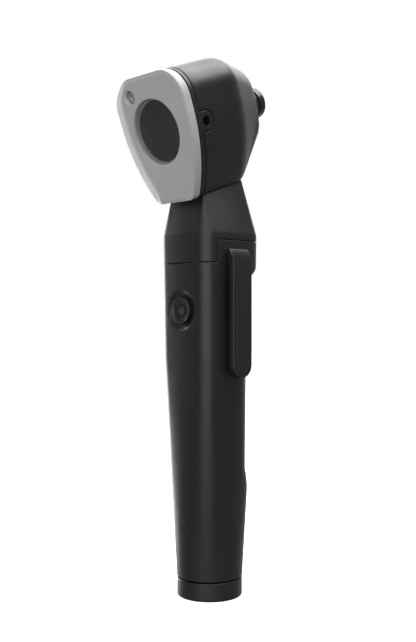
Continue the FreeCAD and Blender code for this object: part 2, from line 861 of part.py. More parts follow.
def rear_frame():
    """The plate that closes the housing towards the user, with the air port's lobe on its right edge."""
    plate = shield_slab("frame_plate", face_shield, 0, S.frame_front, S.frame_back)
    tongue_zone = shield_slab("lobe_zone", face_shield, 0, S.frame_front, S.port_s + S.port_lobe + 1)
    tongue = common("frame_lobe", tongue_zone, lobe("lobe_solid", 0, 12.6, 18))
    boss = cylinder("pivot_boss", 2.6, 3.6)
    move_on_head(boss, S.pivot_x, S.frame_back - 0.1, S.pivot_v, ALONG_SIGHT)
    sight = cylinder("frame_sight", 10.3, 4)
    move_on_head(sight, s=S.frame_front - 1, lean=ALONG_SIGHT)
    groove = move_on_head(ring("seal_groove", 11.2, 12.4, 1.8), s=S.frame_front - 1, lean=ALONG_SIGHT)
    washer_room = cylinder("washer_room", S.washer + 0.1, 1.3)
    move_on_head(washer_room, S.pivot_x, S.frame_front - 1, S.pivot_v, ALONG_SIGHT)
    pivot_thread = cylinder("pivot_thread", 1.25, 8)
    move_on_head(pivot_thread, S.pivot_x, S.frame_front - 1, S.pivot_v, ALONG_SIGHT)
    port = cylinder("port_room", S.port_bore + 0.5, 8)
    x, y, z = head_point(12, S.port_s, S.port_v)
    move(port, x, y, z, FreeCAD.Rotation(Y_AXIS, 90))
    heads = screw_rows("head_room", 1.55, S.frame_front - 1, S.frame_front + 0.9)
    shanks = screw_rows("shank_room", 0.85, S.frame_front - 1, S.frame_back + 1)
    whole = fuse("frame_whole", plate, tongue, boss)
    rooms = (sight, groove, washer_room, pivot_thread, port, *heads, *shanks)
    node("rear_frame", cut("frame_cut", whole, *rooms))


def frame_screws():
    heads = screw_rows("screw_head", 1.5, S.frame_front + 0.1, S.frame_front + 0.9)
    shanks = screw_rows("screw_shank", 0.8, S.frame_front + 0.8, 11.5)
    pairs = [fuse(f"frame_screw_{i}", head, shank) for i, (head, shank) in enumerate(zip(heads, shanks))]
    group = doc.addObject("Part::Compound", "frame_screws")
    group.Links = pairs
    node("frame_screws", group)


# ---------------------------------------------------------------- lens carrier


def lens_carrier():
    """The swivelling plate: a chamfered shield with the window, the lens's seat and the counterbore."""
    edge = 0.8
    slab = shield_slab("carrier_slab", face_shield, 0, edge, S.carrier_thick)
    bevel = shield_loft("carrier_bevel", (face_shield, edge, 0), (face_shield, 0, size(edge) + 0.01))
    sight = cylinder("carrier_window", S.window, 6)
    move_on_head(sight, s=-1, lean=ALONG_SIGHT)
    seat = cylinder("carrier_lens_seat", S.lens_radius + 0.1, 4)
    move_on_head(seat, s=1.2, lean=ALONG_SIGHT)
    counterbore = cylinder("carrier_counterbore", 2.15, 3.0)
    move_on_head(counterbore, S.pivot_x, -1, S.pivot_v, ALONG_SIGHT)
    bush_room = cylinder("carrier_bush_room", 2.6, 3)
    move_on_head(bush_room, S.pivot_x, 2.0, S.pivot_v, ALONG_SIGHT)
    whole = fuse("carrier_whole", slab, bevel)
    node("lens_carrier", cut("carrier_cut", whole, sight, seat, counterbore, bush_room))


def pivot_bush():
    bush = ring("pivot_bush", 1.8, 2.6, S.carrier_thick - 2.0)
    node("pivot_bush", move_on_head(bush, S.pivot_x, 2.0, S.pivot_v, ALONG_SIGHT))


def pivot_screw():
    """A shoulder screw: head with a cross recess, shoulder that the bush turns on, and thread."""
    head = 2.0
    shoulder = 1.75
    thread = 1.25
    corners = [(0, 0), (head, 0), (head, 1.3), (shoulder, 1.3), (shoulder, 2.9)]
    corners += [(thread, 2.9), (thread, 7.5), (0, 7.5)]
    body = turned("pivot_screw_body", corners)
    bars = [move(block(f"recess_{i}", 2.4, 0.55, 0.7), -1.2, -0.275, -0.01) for i in range(2)]
    bars[1].Placement = FreeCAD.Placement(
        FreeCAD.Vector(0.275, -1.2, -0.01), FreeCAD.Rotation(Z_AXIS, 90)
    )
    screw = cut("pivot_screw_cut", body, *bars)
    node("pivot_screw", move_on_head(screw, S.pivot_x, 0.6, S.pivot_v, ALONG_SIGHT))


def friction_washer():
    washer = ring("friction_washer", 1.85, S.washer, 0.42)
    node("friction_washer", move_on_head(washer, S.pivot_x, S.frame_front - 0.12, S.pivot_v, ALONG_SIGHT))


def magnifier_lens():
    """A plano-convex lens. Its domed side faces the user."""
    dome = 60.0
    edge = 1.36
    flat = 2.35
    sphere = doc.addObject("Part::Sphere", "lens_dome")
    sphere.Radius = dome
    sagitta = dome - math.sqrt(dome**2 - S.lens_radius.value**2)
    move_on_head(sphere, s=dome + edge - sagitta, lean=ALONG_SIGHT)
    disc = cylinder("lens_disc", S.lens_radius, flat)
    move_on_head(disc, lean=ALONG_SIGHT)
    node("magnifier_lens", common("lens_whole", sphere, disc))


def lens_ring():
    thing = ring("lens_ring", S.window - 0.8, S.lens_radius + 0.05, 0.85)
    node("lens_ring", move_on_head(thing, s=2.38, lean=ALONG_SIGHT))


def window_seal():
    thing = ring("window_seal", 11.3, 12.3, 0.9)
    node("window_seal", move_on_head(thing, s=S.frame_front - 0.1, lean=ALONG_SIGHT))


# ---------------------------------------------------------------- optics inside the head


def viewing_tunnel():
    """The dark funnel between the window and the light guide, with a hole for the air port's tube."""
    long = 29.5 - S.frame_back
    corners = [
        (10.3, 0),
        (12.0, 0),
        (12.0, 0.8),
        (11.1, 1.1),
        (S.guide_outer + 0.3, long),
        (S.guide_bore, long),
    ]
    funnel = turned("tunnel_funnel", corners)
    move_on_head(funnel, s=S.frame_back + 0.02, lean=ALONG_SIGHT)
    hole = cylinder("tunnel_port", S.port_bore + 0.55, 6)
    x, y, z = head_point(8, S.port_s, S.port_v)
    move(hole, x, y, z, FreeCAD.Rotation(Y_AXIS, 90))
    node("viewing_tunnel", cut("tunnel_cut", funnel, hole))


def port_tube():
    tube = ring("port_tube", S.port_bore, S.port_bore + 0.5, 6.6)
    x, y, z = head_point(10.0, S.port_s, S.port_v)
    node("port_tube", move(tube, x, y, z, FreeCAD.Rotation(Y_AXIS, 90)))


def speculum_seat():
    """The seat that an ear tip locks onto: tail and flange inside, neck, groove and end ring outside."""
    start = 33.0
    corners = [
        (S.guide_outer + 0.05, 0),
        (5.15, 0),
        (5.15, 1.4),
        (7.0, 1.4),
        (7.0, 3.15),
        (5.15, 3.15),
        (5.15, S.rim + 0.02 - start),
        (6.5, S.rim + 0.02 - start),
        (S.seat_neck + 0.25, S.rim + 1.4 - start),
        (S.seat_neck, S.groove_start - start),
        (S.groove_radius, S.groove_start - start),
        (S.groove_radius, S.groove_end - start),
        (S.seat_ring, S.groove_end - start),
        (S.seat_ring, S.seat_end - 0.35 - start),
        (S.seat_ring - 0.35, S.seat_end - start),
        (S.guide_outer + 0.05, S.seat_end - start),
    ]
    node("speculum_seat", move_on_head(turned("speculum_seat", corners), s=start, lean=ALONG_SIGHT))


def light_guide():
    """Glass fibres: a thin ring round the line of sight, fed by a bundle that rises from the lamp."""
    start = 29.7
    bundle = 1.6
    bend = 7.0
    tube = move_on_head(ring("guide_ring", S.guide_bore, S.guide_outer, 17.8), s=start, lean=ALONG_SIGHT)
    lamp_y = 0.0
    lamp_z = 127.5
    upper_x, upper_y, upper_z = head_point(0, size(31.85), size(-4.6))
    corner_z = size(139.0)
    path = doc.addObject("Sketcher::SketchObject", "bundle_path")
    low = FreeCAD.Vector(lamp_y, lamp_z, 0)
    corner = FreeCAD.Vector(lamp_y, corner_z.value, 0)
    high = FreeCAD.Vector(upper_y.value, upper_z.value, 0)
    away = (high - corner).normalize()
    turn = math.acos(away.dot(FreeCAD.Vector(0, 1, 0)))
    short = bend * math.tan(turn / 2)
    first = corner - FreeCAD.Vector(0, short, 0)
    last = corner + away * short
    centre = first + FreeCAD.Vector(bend, 0, 0)
    start_angle = 180 - math.degrees(turn)
    path.addGeometry(Part.LineSegment(low, first), False)
    path.addGeometry(arc(centre.x, centre.y, bend, start_angle, 180), False)
    path.addGeometry(Part.LineSegment(last, high), False)
    path.addConstraint(Sketcher.Constraint("Tangent", 0, 2, 1, 2))
    path.addConstraint(Sketcher.Constraint("Tangent", 1, 1, 2, 1))
    constrain(path, bend, "Radius", 1)
    pin_point(path, 0, 1, lamp_y, lamp_z)
    path.addConstraint(Sketcher.Constraint("Vertical", 0))
    pin_point(path, 2, 2, upper_y, upper_z)
    constrain(path, corner_z - short, "DistanceY", -1, 1, 0, 2)
    path.Placement = FreeCAD.Placement(FreeCAD.Vector(), FreeCAD.Rotation(FreeCAD.Vector(1, 1, 1), 120))
    section = doc.addObject("Part::Circle", "bundle_section")
    section.Radius = bundle
    move(section, z=lamp_z)
    doc.recompute()
    cable = doc.addObject("Part::Sweep", "guide_bundle")
    cable.Sections = [section]
    cable.Spine = (path, ["Edge1", "Edge2", "Edge3"])
    cable.Solid = True
    node("light_guide", fuse("guide_whole", tube, cable))


def lamp():
    """The LED on its board and heat sink, on the plug's insulator."""
    node("heat_sink", move(cylinder("heat_sink", 5.0, 4.0), z=121.2))
    node("led_board", move(cylinder("led_board", 4.2, 0.9), z=125.2))
    dome = turned("led_emitter", [(0, 0), (1.7, 0), (1.7, 0.6), (1.1, 1.1), (0, 1.3)])
    node("led_emitter", move(dome, z=126.1))


def plug():
    """The plug under the head: a metal sleeve, an insulator and a centre pin."""
    sleeve = ring("plug_sleeve", S.sleeve_inner, S.sleeve_outer, 12.9)
    node("plug_sleeve", move(sleeve, z=S.plug_low))
    node("plug_insulator", move(ring("plug_insulator", 1.3, S.sleeve_inner, 2.0), z=119.2))
    node("plug_pin", move(cylinder("plug_pin", 1.3, 10.6), z=110.6))


# ---------------------------------------------------------------- build


def build():
    handle_shell()
    battery_tube()
    battery_cell("lower_battery", S.cell_low)
    battery_cell("upper_battery", S.cell_low + S.cell_long)
    socket_ring()
    contact_insulator()
    contact_strip("battery_contact", -4.6, 2.0, S.socket_level + 0.25)
    contact_strip("lamp_contact", 2.6, 2.0, S.socket_level + 1.8)
    switch_board()
    power_button()
    clip()
    end_cap()
    cap_o_ring()
    battery_spring()
    head_housing()
    rear_frame()
    frame_screws()
    lens_carrier()
    pivot_bush()
    pivot_screw()
    friction_washer()
    magnifier_lens()
    lens_ring()
    window_seal()
    viewing_tunnel()
    port_tube()
    speculum_seat()
    light_guide()
    lamp()
    plug()


def check():
    """Stops if any object of the document failed, or if a sub-part's shape isn't sound."""
    for thing in doc.Objects:
        bad = [state for state in thing.State if state in ("Invalid", "Error")]
        if bad:
            raise RuntimeError(f"{thing.Name} is {bad}")
    for thing in NODES:
        if thing.Shape.isNull() or not thing.Shape.isValid() or not thing.Shape.Solids:
            raise RuntimeError(f"{thing.Label} has no sound shape")


def write():
    os.makedirs("parts", exist_ok=True)
    for thing in NODES:
        thing.Shape.exportStep(f"parts/{thing.Label}.step")
        print(thing.Label, "solids", len(thing.Shape.Solids), "volume", round(thing.Shape.Volume, 1))


build()
doc.recompute()
check()
write()
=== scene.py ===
import json
import math

import bmesh
import bpy
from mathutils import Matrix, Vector
from mathutils.geometry import delaunay_2d_cdt


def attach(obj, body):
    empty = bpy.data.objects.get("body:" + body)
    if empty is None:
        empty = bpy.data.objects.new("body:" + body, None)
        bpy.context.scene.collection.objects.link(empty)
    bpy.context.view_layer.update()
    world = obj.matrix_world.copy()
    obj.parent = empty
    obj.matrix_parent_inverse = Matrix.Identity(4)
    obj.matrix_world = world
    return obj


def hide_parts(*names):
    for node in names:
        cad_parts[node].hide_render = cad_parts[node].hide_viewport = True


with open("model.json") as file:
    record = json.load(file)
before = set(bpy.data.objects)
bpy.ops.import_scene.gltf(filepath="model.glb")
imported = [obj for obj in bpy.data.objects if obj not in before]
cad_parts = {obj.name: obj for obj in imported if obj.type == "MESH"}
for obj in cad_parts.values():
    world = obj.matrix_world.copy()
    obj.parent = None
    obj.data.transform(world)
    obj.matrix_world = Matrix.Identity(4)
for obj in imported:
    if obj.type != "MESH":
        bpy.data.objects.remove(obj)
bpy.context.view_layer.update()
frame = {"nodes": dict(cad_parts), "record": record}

# Looks of the pocket otoscope. Shapes are built in millimetres in the CAD's frame: the origin is the centre
# of the cap's flat bottom, +Z runs up the handle, -Y is the user's side and +X is the clip's side. The head
# has a frame of its own: x as in the row, s forwards along the line of sight and v up along its face.

MM = 0.001
MOUNTS = {mount["name"]: mount for mount in frame["record"]["mounts"]}
SEAT_RING_AT = 46.175
SIGHT = Vector(MOUNTS["ear_tip_seat"]["axis"])
EYE = Vector(MOUNTS["ear_tip_seat"]["pos_m"]) / MM - SEAT_RING_AT * SIGHT


def head(x, s, v):
    """A point of the head's frame, in the row's frame."""
    return Vector((x, EYE.y + SIGHT.y * s - SIGHT.z * v, EYE.z + SIGHT.z * s + SIGHT.y * v))


def lerp(a, b, t):
    return a + (b - a) * t


def swing(degrees):
    angle = math.radians(degrees)
    return math.cos(angle), math.sin(angle)


def polar(radius, degrees, a=0.0, b=0.0):
    """The point at a radius and an angle from (a, b)."""
    c, s = swing(degrees)
    return a + radius * c, b + radius * s


def spread(low, high, steps):
    """Evenly spaced values from low to high, both included."""
    return [lerp(low, high, k / steps) for k in range(steps + 1)]


# ---- meshes

# steps of a rounded edge, how far a lip runs inwards, spacing of the points that fill a patch, and steps of
# a turned piece
LIP_STEPS = 3
BLUNT_STEPS = 4
LIP_DEPTH = 0.8
SEAM_GRID = 0.8
WINDOW_GRID = 0.9
TURNED = 96


class Shape:
    """Points and faces of one piece, in millimetres."""

    def __init__(self):
        self.points = []
        self.faces = []

    def mesh(self, name):
        mesh = bpy.data.meshes.new(name)
        mesh.from_pydata([point * MM for point in self.points], [], self.faces)
        return mesh

    def row(self, points):
        first = len(self.points)
        self.points += [Vector(point) for point in points]
        return list(range(first, len(self.points)))

    def strip(self, a, b, closed=True):
        for i in range(len(a) if closed else len(a) - 1):
            j = (i + 1) % len(a)
            self.faces.append((a[i], a[j], b[j], b[i]))

    def tube(self, rows, start=None, closed=True):
        """Joins rows of points by quads, on from the row start."""
        loops = [start] if start else []
        loops += [self.row(points) for points in rows]
        for a, b in zip(loops, loops[1:]):
            self.strip(a, b, closed)
        return loops

    def grid(self, loops, windows=()):
        """Joins rows of indices, but leaves out the windows, each (first row, last row, first column, last)."""
        for i, (a, b) in enumerate(zip(loops, loops[1:])):
            for j in range(len(a) - 1):
                if not any(r0 <= i < r1 and c0 <= j < c1 for r0, r1, c0, c1 in windows):
                    self.faces.append((a[j], a[j + 1], b[j + 1], b[j]))

    def fan(self, loop, centre):
        """Closes a loop with triangles round a centre."""
        middle = self.row([centre])[0]
        for i, a in enumerate(loop):
            self.faces.append((a, loop[(i + 1) % len(loop)], middle))

    def patch(self, loops, flatten, lift=None, spacing=None):
        """Fills the room between an outer loop and the loops inside it, on the surface that lift describes."""
        corners = [i for loop in loops for i in loop]
        flat = [Vector(flatten(self.points[i])) for i in corners]
        edges = []
        polygons = []
        for loop in loops:
            first = sum(len(polygon) for polygon in polygons)
            edges += [(first + k, first + (k + 1) % len(loop)) for k in range(len(loop))]
            polygons.append(flat[first:first + len(loop)])
        extra = inner_points(polygons, spacing) if spacing else []
        places, _, triangles, sources, _, _ = delaunay_2d_cdt(flat + extra, edges, [], 0, 1e-6)
        index = []
        for place, source in zip(places, sources):
            known = source and source[0] < len(corners)
            index.append(corners[source[0]] if known else self.row([lift(*place)])[0])
        for triangle in triangles:
            middle = [sum(places[k][axis] for k in triangle) / 3 for axis in (0, 1)]
            if inside(middle, polygons):
                self.faces.append(tuple(index[k] for k in triangle))


def inside(point, polygons):
    hits = 0
    for polygon in polygons:
        for a, b in zip(polygon, polygon[1:] + polygon[:1]):
            if (a.y > point[1]) != (b.y > point[1]):
                hits += point[0] < a.x + (point[1] - a.y) * (b.x - a.x) / (b.y - a.y)
    return hits % 2 == 1


def inner_points(polygons, spacing):
    """A grid of points inside the polygons, well away from their corners."""
    outer = polygons[0]
    corners = [corner for polygon in polygons for corner in polygon]
    low = Vector((min(p.x for p in outer), min(p.y for p in outer)))
    high = Vector((max(p.x for p in outer), max(p.y for p in outer)))
    points = []
    for i in range(int((high.x - low.x) / spacing)):
        for j in range(int((high.y - low.y) / spacing)):
            point = low + Vector((i + 0.5, j + 0.5)) * spacing
            if inside(point, polygons) and min((point - c).length for c in corners) > 0.6 * spacing:
                points.append(point)
    return points


def window_rim(loops, r0, r1, c0, c1):
    """The loop of indices round a window of a grid."""
    rim = loops[r0][c0:c1 + 1]
    rim += [loops[r][c1] for r in range(r0 + 1, r1 + 1)]
    rim += loops[r1][c0:c1][::-1]
    rim += [loops[r][c0] for r in range(r1 - 1, r0, -1)]
    return rim


def lip(shape, inset, edge, normals, depth=None):
    """Rounds the surface over at its edge, from the loop inset, and runs on inwards to depth."""
    rows = []
    radius = [(e - shape.points[i]).length for e, i in zip(edge, inset)]
    for step in range(1, LIP_STEPS + 1):
        c, s = swing(90 * step / LIP_STEPS)
        rows.append([
            shape.points[i] + n * (r * (c - 1)) + (e - shape.points[i]) * s
            for i, e, n, r in zip(inset, edge, normals, radius)
        ])
    if depth:
        rows.append([e - n * depth for e, n in zip(edge, normals)])
    return shape.tube(rows, start=inset)[-1]


def soften(corners, steps=4):
    """An outline whose corners (a, b, radius) are rounded."""
    points = []
    for k, (a, b, radius) in enumerate(corners):
        here = Vector((a, b))
        if not radius or k in (0, len(corners) - 1):
            points.append(here)
            continue
        before = (Vector(corners[k - 1][:2]) - here).normalized()
        after = (Vector(corners[k + 1][:2]) - here).normalized()
        half = before.angle(after) / 2
        centre = here + (before + after).normalized() * (radius / math.sin(half))
        first = here + before * (radius / math.tan(half)) - centre
        turn = first.angle_signed(here + after * (radius / math.tan(half)) - centre)
        for step in range(steps + 1):
            c, s = math.cos(-turn * step / steps), math.sin(-turn * step / steps)
            points.append(centre + Vector((first.x * c - first.y * s, first.x * s + first.y * c)))
    return points


def lathe(shape, outline, steps, place):
    """Turns an outline of (radius, depth) points. place(a, b, depth) puts a point in the row's frame."""
    loops = []
    for radius, depth in outline:
        if radius > 1e-6:
            loops.append(shape.row(place(*polar(radius, 360 * k / steps), depth) for k in range(steps)))
        else:
            loops.append(place(0, 0, depth))
    for a, b in zip(loops, loops[1:]):
        if isinstance(a, Vector):
            shape.fan(b, a)
        elif isinstance(b, Vector):
            shape.fan(a, b)
        else:
            shape.strip(a, b)
    return loops


def upright(a, b, depth):
    """Places a turned piece on the handle's axis."""
    return Vector((a, b, depth))


def on_sight(x=0.0, v=0.0):
    """Places a turned piece on a line along the line of sight."""
    return lambda a, b, depth: head(x + a, depth, v + b)


def show(name, data):
    """Adds an object to the scene."""
    made = bpy.data.objects.new(name, data)
    bpy.context.scene.collection.objects.link(made)
    return made


def piece(name, shape, body, slot, replaces=(), sharp=40.0, bevel=0.0):
    """Makes the mesh object of a shape, which rides on a body and takes the slot's material."""
    mesh = shape.mesh(name)
    work = bmesh.new()
    work.from_mesh(mesh)
    bmesh.ops.remove_doubles(work, verts=work.verts, dist=1e-6)
    bmesh.ops.recalc_face_normals(work, faces=work.faces)
    work.to_mesh(mesh)
    work.free()
    mesh.shade_smooth()
    mesh.materials.append(MATERIALS[slot])
    made = show(name, mesh)
    if bevel:
        rounding = made.modifiers.new("rounding", "BEVEL")
        rounding.width = bevel * MM
        rounding.segments = BLUNT_STEPS
        rounding.limit_method = "ANGLE"
        rounding.angle_limit = math.radians(30)
    else:
        mesh.set_sharp_from_angle(angle=math.radians(sharp))
    weighing = made.modifiers.new("even_shading", "WEIGHTED_NORMAL")
    weighing.keep_sharp = True
    weighing.weight = 80
    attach(made, body)
    if replaces:
        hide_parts(*replaces)
    return made


# ---- handle's skin

FACE_STEPS = 24
CORNER_STEPS = 10
QUARTER = FACE_STEPS + CORNER_STEPS
COLUMNS = 4 * QUARTER
AROUND = [k / QUARTER for k in range(COLUMNS)]
FACE_SHARE = FACE_STEPS / QUARTER
# level, half width, radius of the faces and radius of the corners
SECTIONS = ((6.65, 10.95, 11.5, 10.2), (80.0, 12.8, 70.0, 5.6), (119.0, 13.1, 80.0, 5.2), (123.0, 13.1, 80.0, 5.2))
# level, half width along X and half width along Y of the oval that the grip is hollowed to
GRIP = ((36.0, 13.4, 13.0), (43.0, 12.7, 11.3), (105.5, 13.2, 11.7), (110.6, 17.0, 15.8))
GRIP_BLEND = 0.7
FRONT_SEAM = 111.45
BACK_SEAM = 119.0
STEP_AT = -7.55
STEP_BEND = 1.2
SEAM_GAP = 0.3
EDGE = 0.15
COLLAR_TOP = 121.3
RIGHT_FRONT, RIGHT_BACK = -3, 4
LEFT_FRONT, LEFT_BACK = 2 * QUARTER + FACE_STEPS - RIGHT_FRONT, 2 * QUARTER + FACE_STEPS - RIGHT_BACK


def section(u, half, crown, corner):
    """A point of a crowned rounded square. u counts its quarters from the middle of the +X face's low end."""
    quarter = math.floor(u)
    part = u - quarter
    back = half - crown
    centre = (back + math.sqrt(2 * (crown - corner) ** 2 - back**2)) / 2
    tilt = math.degrees(math.atan2(centre, centre - back))
    turn = 90 * quarter
    if part <= FACE_SHARE:
        away, radius, way = back, crown, turn
        angle = turn - tilt + 2 * tilt * part / FACE_SHARE
    else:
        away, radius, way = centre * math.sqrt(2), corner, turn + 45
        angle = turn + tilt + (90 - 2 * tilt) * (part - FACE_SHARE) / (1 - FACE_SHARE)
    return Vector(polar(radius, angle, *polar(away, way)))


def between(table, level):
    """The two rows of a table round a level and how far it is from the first to the second."""
    for low, high in zip(table, table[1:]):
        if level <= high[0]:
            break
    return low, high, (level - low[0]) / (high[0] - low[0])


def hollowed(point, z):
    """Draws a point of the handle's back in to the grip's oval, softly."""
    if point.y <= 0 or not GRIP[0][0] < z < GRIP[-1][0]:
        return point
    low, high, t = between(GRIP, z)
    wide, deep = lerp(low[1], high[1], t), lerp(low[2], high[2], t)
    away = point.length
    oval = away / math.sqrt((point.x / wide) ** 2 + (point.y / deep) ** 2)
    near = max(GRIP_BLEND - abs(away - oval), 0) / GRIP_BLEND
    reach = min(away, oval) - near**2 * GRIP_BLEND / 4
    return point * lerp(1, reach / away, min(point.y / 2, 1))


def skin(u, z):
    low, high, t = between(SECTIONS, z)
    flat = hollowed(lerp(section(u, *low[1:]), section(u, *high[1:]), t), z)
    return Vector((flat.x, flat.y, z))


def skin_normal(u, z):
    across = skin(u + 0.002, z) - skin(u - 0.002, z)
    return across.cross(skin(u, z + 0.02) - skin(u, z - 0.02)).normalized()


def find(low, high, wanted, value):
    """The u between low and high for which value(u) is wanted. value rises with u."""
    for _ in range(30):
        middle = (low + high) / 2
        if value(middle) < wanted:
            low = middle
        else:
            high = middle
    return low


def on_side(y, z, side):
    """A point of the +X or -X face, and the skin's normal there."""
    u = find(-0.29, FACE_SHARE, y, lambda u: skin(u, z).y)
    point, normal = skin(u, z), skin_normal(u, z)
    return Vector((side * point.x, point.y, z)), Vector((side * normal.x, normal.y, normal.z))


def from_side(point):
    """(y, z) of a point on the handle's side."""
    return point.y, point.z


def on_front(x, z):
    u = find(3, 3 + FACE_SHARE, x, lambda u: skin(u, z).x)
    return skin(u, z)


def seam(offset):
    """The seam on one side of the handle, from front to back, as (y, z) points. It is offset upwards."""
    points = [(STEP_AT - STEP_BEND, FRONT_SEAM + offset)]
    low, high = FRONT_SEAM + STEP_BEND, BACK_SEAM - STEP_BEND
    points += [polar(STEP_BEND - offset, angle, STEP_AT - STEP_BEND, low) for angle in spread(-90, 0, 6)[1:]]
    points += [(STEP_AT - offset, z) for z in spread(low, high, 6)[1:-1]]
    points += [polar(STEP_BEND + offset, angle, STEP_AT + STEP_BEND, high) for angle in spread(180, 90, 6)]
    return points


def stepped_edge(shape, base, base_level, inset, edge, windows=()):
    """Carries a skin on from the row base to the stepped seam and rounds it over there.

    inset and edge are the seam's offsets where the rounding starts and where it ends. The result is the
    last row and the rows of indices of the back part.
    """
    def block(columns, level):
        loops = [[base[k % COLUMNS] for k in columns]]
        for z in spread(base_level, level, max(1, round(abs(level - base_level))))[1:]:
            loops.append(shape.row(skin(k / QUARTER, z) for k in columns))
        return loops

    behind, ahead = range(RIGHT_BACK, LEFT_BACK + 1), range(LEFT_FRONT, RIGHT_FRONT + COLUMNS + 1)
    back, front = block(behind, BACK_SEAM + inset), block(ahead, FRONT_SEAM + inset)
    shape.grid(back, windows)
    shape.grid(front)
    paths = {}
    right, left = range(RIGHT_FRONT, RIGHT_BACK + 1), range(LEFT_FRONT, LEFT_BACK - 1, -1)
    for side, columns, first, last in ((1, right, 0, -1), (-1, left, -1, 0)):
        paths[side] = shape.row(on_side(y, z, side)[0] for y, z in seam(inset))
        rim = [base[k % COLUMNS] for k in columns] + [loop[first] for loop in back[1:]]
        rim += paths[side][::-1] + [loop[last] for loop in front[:0:-1]]
        shape.patch([rim], from_side, lambda y, z, side=side: on_side(y, z, side)[0], SEAM_GRID)
    loop = back[-1] + paths[-1][::-1] + front[-1] + paths[1]
    ends = []
    for columns, level, side in ((behind, BACK_SEAM + edge, -1), (ahead, FRONT_SEAM + edge, 1)):
        ends += [(skin(k / QUARTER, level), skin_normal(k / QUARTER, level)) for k in columns]
        ends += [on_side(y, z, side) for y, z in seam(edge)[::side]]
    return lip(shape, loop, *zip(*ends), LIP_DEPTH), back


def to_bore(shape, loop, radius, level):
    """Runs from a loop inwards to a round bore, and along the bore to a level."""
    rim = []
    for i in loop:
        point = shape.points[i]
        away = Vector((point.x, point.y)).normalized() * radius
        rim.append(Vector((away.x, away.y, point.z)))
    return shape.tube([rim, [Vector((p.x, p.y, level)) for p in rim]], start=loop)[-1]


# ---- handle

BUTTON_AT = 96.0
BUTTON_RADIUS = 4.42
CLIP_FOOT_AT = 113.0
CAP_BORE, CAP_BORE_TOP = 8.97, 13.0
SOCKET_BORE, SOCKET_BORE_LOW = 10.42, 106.0


def rounded_box(half_wide, half_tall, radius, steps=5):
    points = []
    for turn, x, y in ((0, 1, 1), (90, -1, 1), (180, -1, -1), (270, 1, -1)):
        middle = x * (half_wide - radius), y * (half_tall - radius)
        points += [polar(radius, angle, *middle) for angle in spread(turn, turn + 90, steps)]
    return points


def handle_shell():
    shape = Shape()
    low = SECTIONS[0][0]
    base_level = 108.0
    window_low, window_high = BUTTON_AT - 8.0, BUTTON_AT + 8.0
    levels = [low + EDGE, low + 1.2] + spread(9.5, window_low, 52)
    first = len(levels) - 1
    levels += spread(window_low, window_high, 20)[1:]
    last = len(levels) - 1
    levels += spread(window_high, base_level, 4)[1:]
    loops = [shape.row(skin(u, z) for u in AROUND) for z in levels]
    closed = [loop + loop[:1] for loop in loops]
    window = (first, last, 3 * QUARTER, 3 * QUARTER + FACE_STEPS)
    shape.grid(closed, [window])
    dish(shape, window_rim(closed, *window))
    bottom, normals = [skin(u, low) for u in AROUND], [skin_normal(u, low + 0.1) for u in AROUND]
    mouth = lip(shape, loops[0], bottom, normals, LIP_DEPTH)
    to_bore(shape, mouth, CAP_BORE, CAP_BORE_TOP)
    slot = (2, 8, 1, 15)
    top, back = stepped_edge(shape, loops[-1], base_level, -EDGE, 0, windows=[slot])
    clip_slot(shape, window_rim(back, *slot))
    to_bore(shape, top, SOCKET_BORE, SOCKET_BORE_LOW)
    piece("handle_shell_skin", shape, "handle", "casing", ["handle_shell"])


def dish(shape, rim):
    """The dished ring round the button and the hole in it."""
    steps = 64
    outline = [(6.95, 0.0), (6.82, 0.02), (6.7, 0.08), (6.6, 0.16), (5.2, 0.98), (5.1, 1.03), (4.95, 1.05)]
    outline += [(4.7, 1.05), (4.6, 1.07), (4.53, 1.14), (4.52, 1.25), (4.52, 2.0)]
    rows = []
    for radius, depth in outline:
        ring = [polar(radius, 360 * k / steps, 0.0, BUTTON_AT) for k in range(steps)]
        rows.append([on_front(x, z) + Vector((0, depth, 0)) for x, z in ring])
    loops = shape.tube(rows)
    shape.patch([rim, loops[0]], lambda point: (point.x, point.z), on_front, WINDOW_GRID)


def clip_slot(shape, rim):
    """The slot that the clip's foot goes through."""
    def around(grow):
        outline = rounded_box(3.25 + grow, 2.45 + grow, 0.6 + grow)
        return zip(*[on_side(y, CLIP_FOOT_AT + z, 1) for y, z in outline])

    inset = shape.row(list(around(EDGE))[0])
    lip(shape, inset, *around(0), depth=2.0)
    shape.patch([rim, inset], from_side, lambda y, z: on_side(y, z, 1)[0], WINDOW_GRID)


def arc_stroke(radius, half, start, end):
    """The outline of a round stroke with round ends, as (x, z) points."""
    def along(away, low, high):
        return [polar(away, angle) for angle in spread(low, high, 22)]

    def round_end(tip, first):
        return [polar(half, angle, *polar(radius, tip)) for angle in spread(first, first + 180, 6)[1:-1]]

    outer, inner = along(radius + half, start, end), along(radius - half, end, start)
    return outer + round_end(end, end) + inner + round_end(start, start + 180)


def power_button():
    """The button's cup with a raised rim and an engraved on-off symbol."""
    shape = Shape()
    back, collar, face, rim = -10.37, -10.92, -12.62, -12.92
    flange = 5.12
    stroke, engraved = 0.3, 0.3

    def place(a, b, depth):
        return Vector((a, depth, BUTTON_AT + b))

    def flatten(point):
        return point.x, point.z - BUTTON_AT

    outline = soften([
        (0, back, 0), (flange, back, 0.1), (flange, collar, 0.1), (BUTTON_RADIUS, collar, 0),
        (BUTTON_RADIUS, rim, 0.16), (3.95, rim, 0.14), (3.68, face, 0.12), (3.4, face, 0),
    ])
    loops = lathe(shape, outline, 64, place)
    ring = arc_stroke(2.1, stroke, 125, 415)
    bar = [(x, 1.75 + z) for x, z in rounded_box(stroke, 1.15, stroke - 0.001)]
    marks = []
    for mark in (ring, bar):
        top, floor = shape.tube([[place(x, z, depth) for x, z in mark] for depth in (face, face + engraved)])
        shape.patch([floor], flatten)
        marks.append(top)
    shape.patch([loops[-1]] + marks, flatten)
    piece("power_button_cap", shape, "button", "button", ["power_button"])


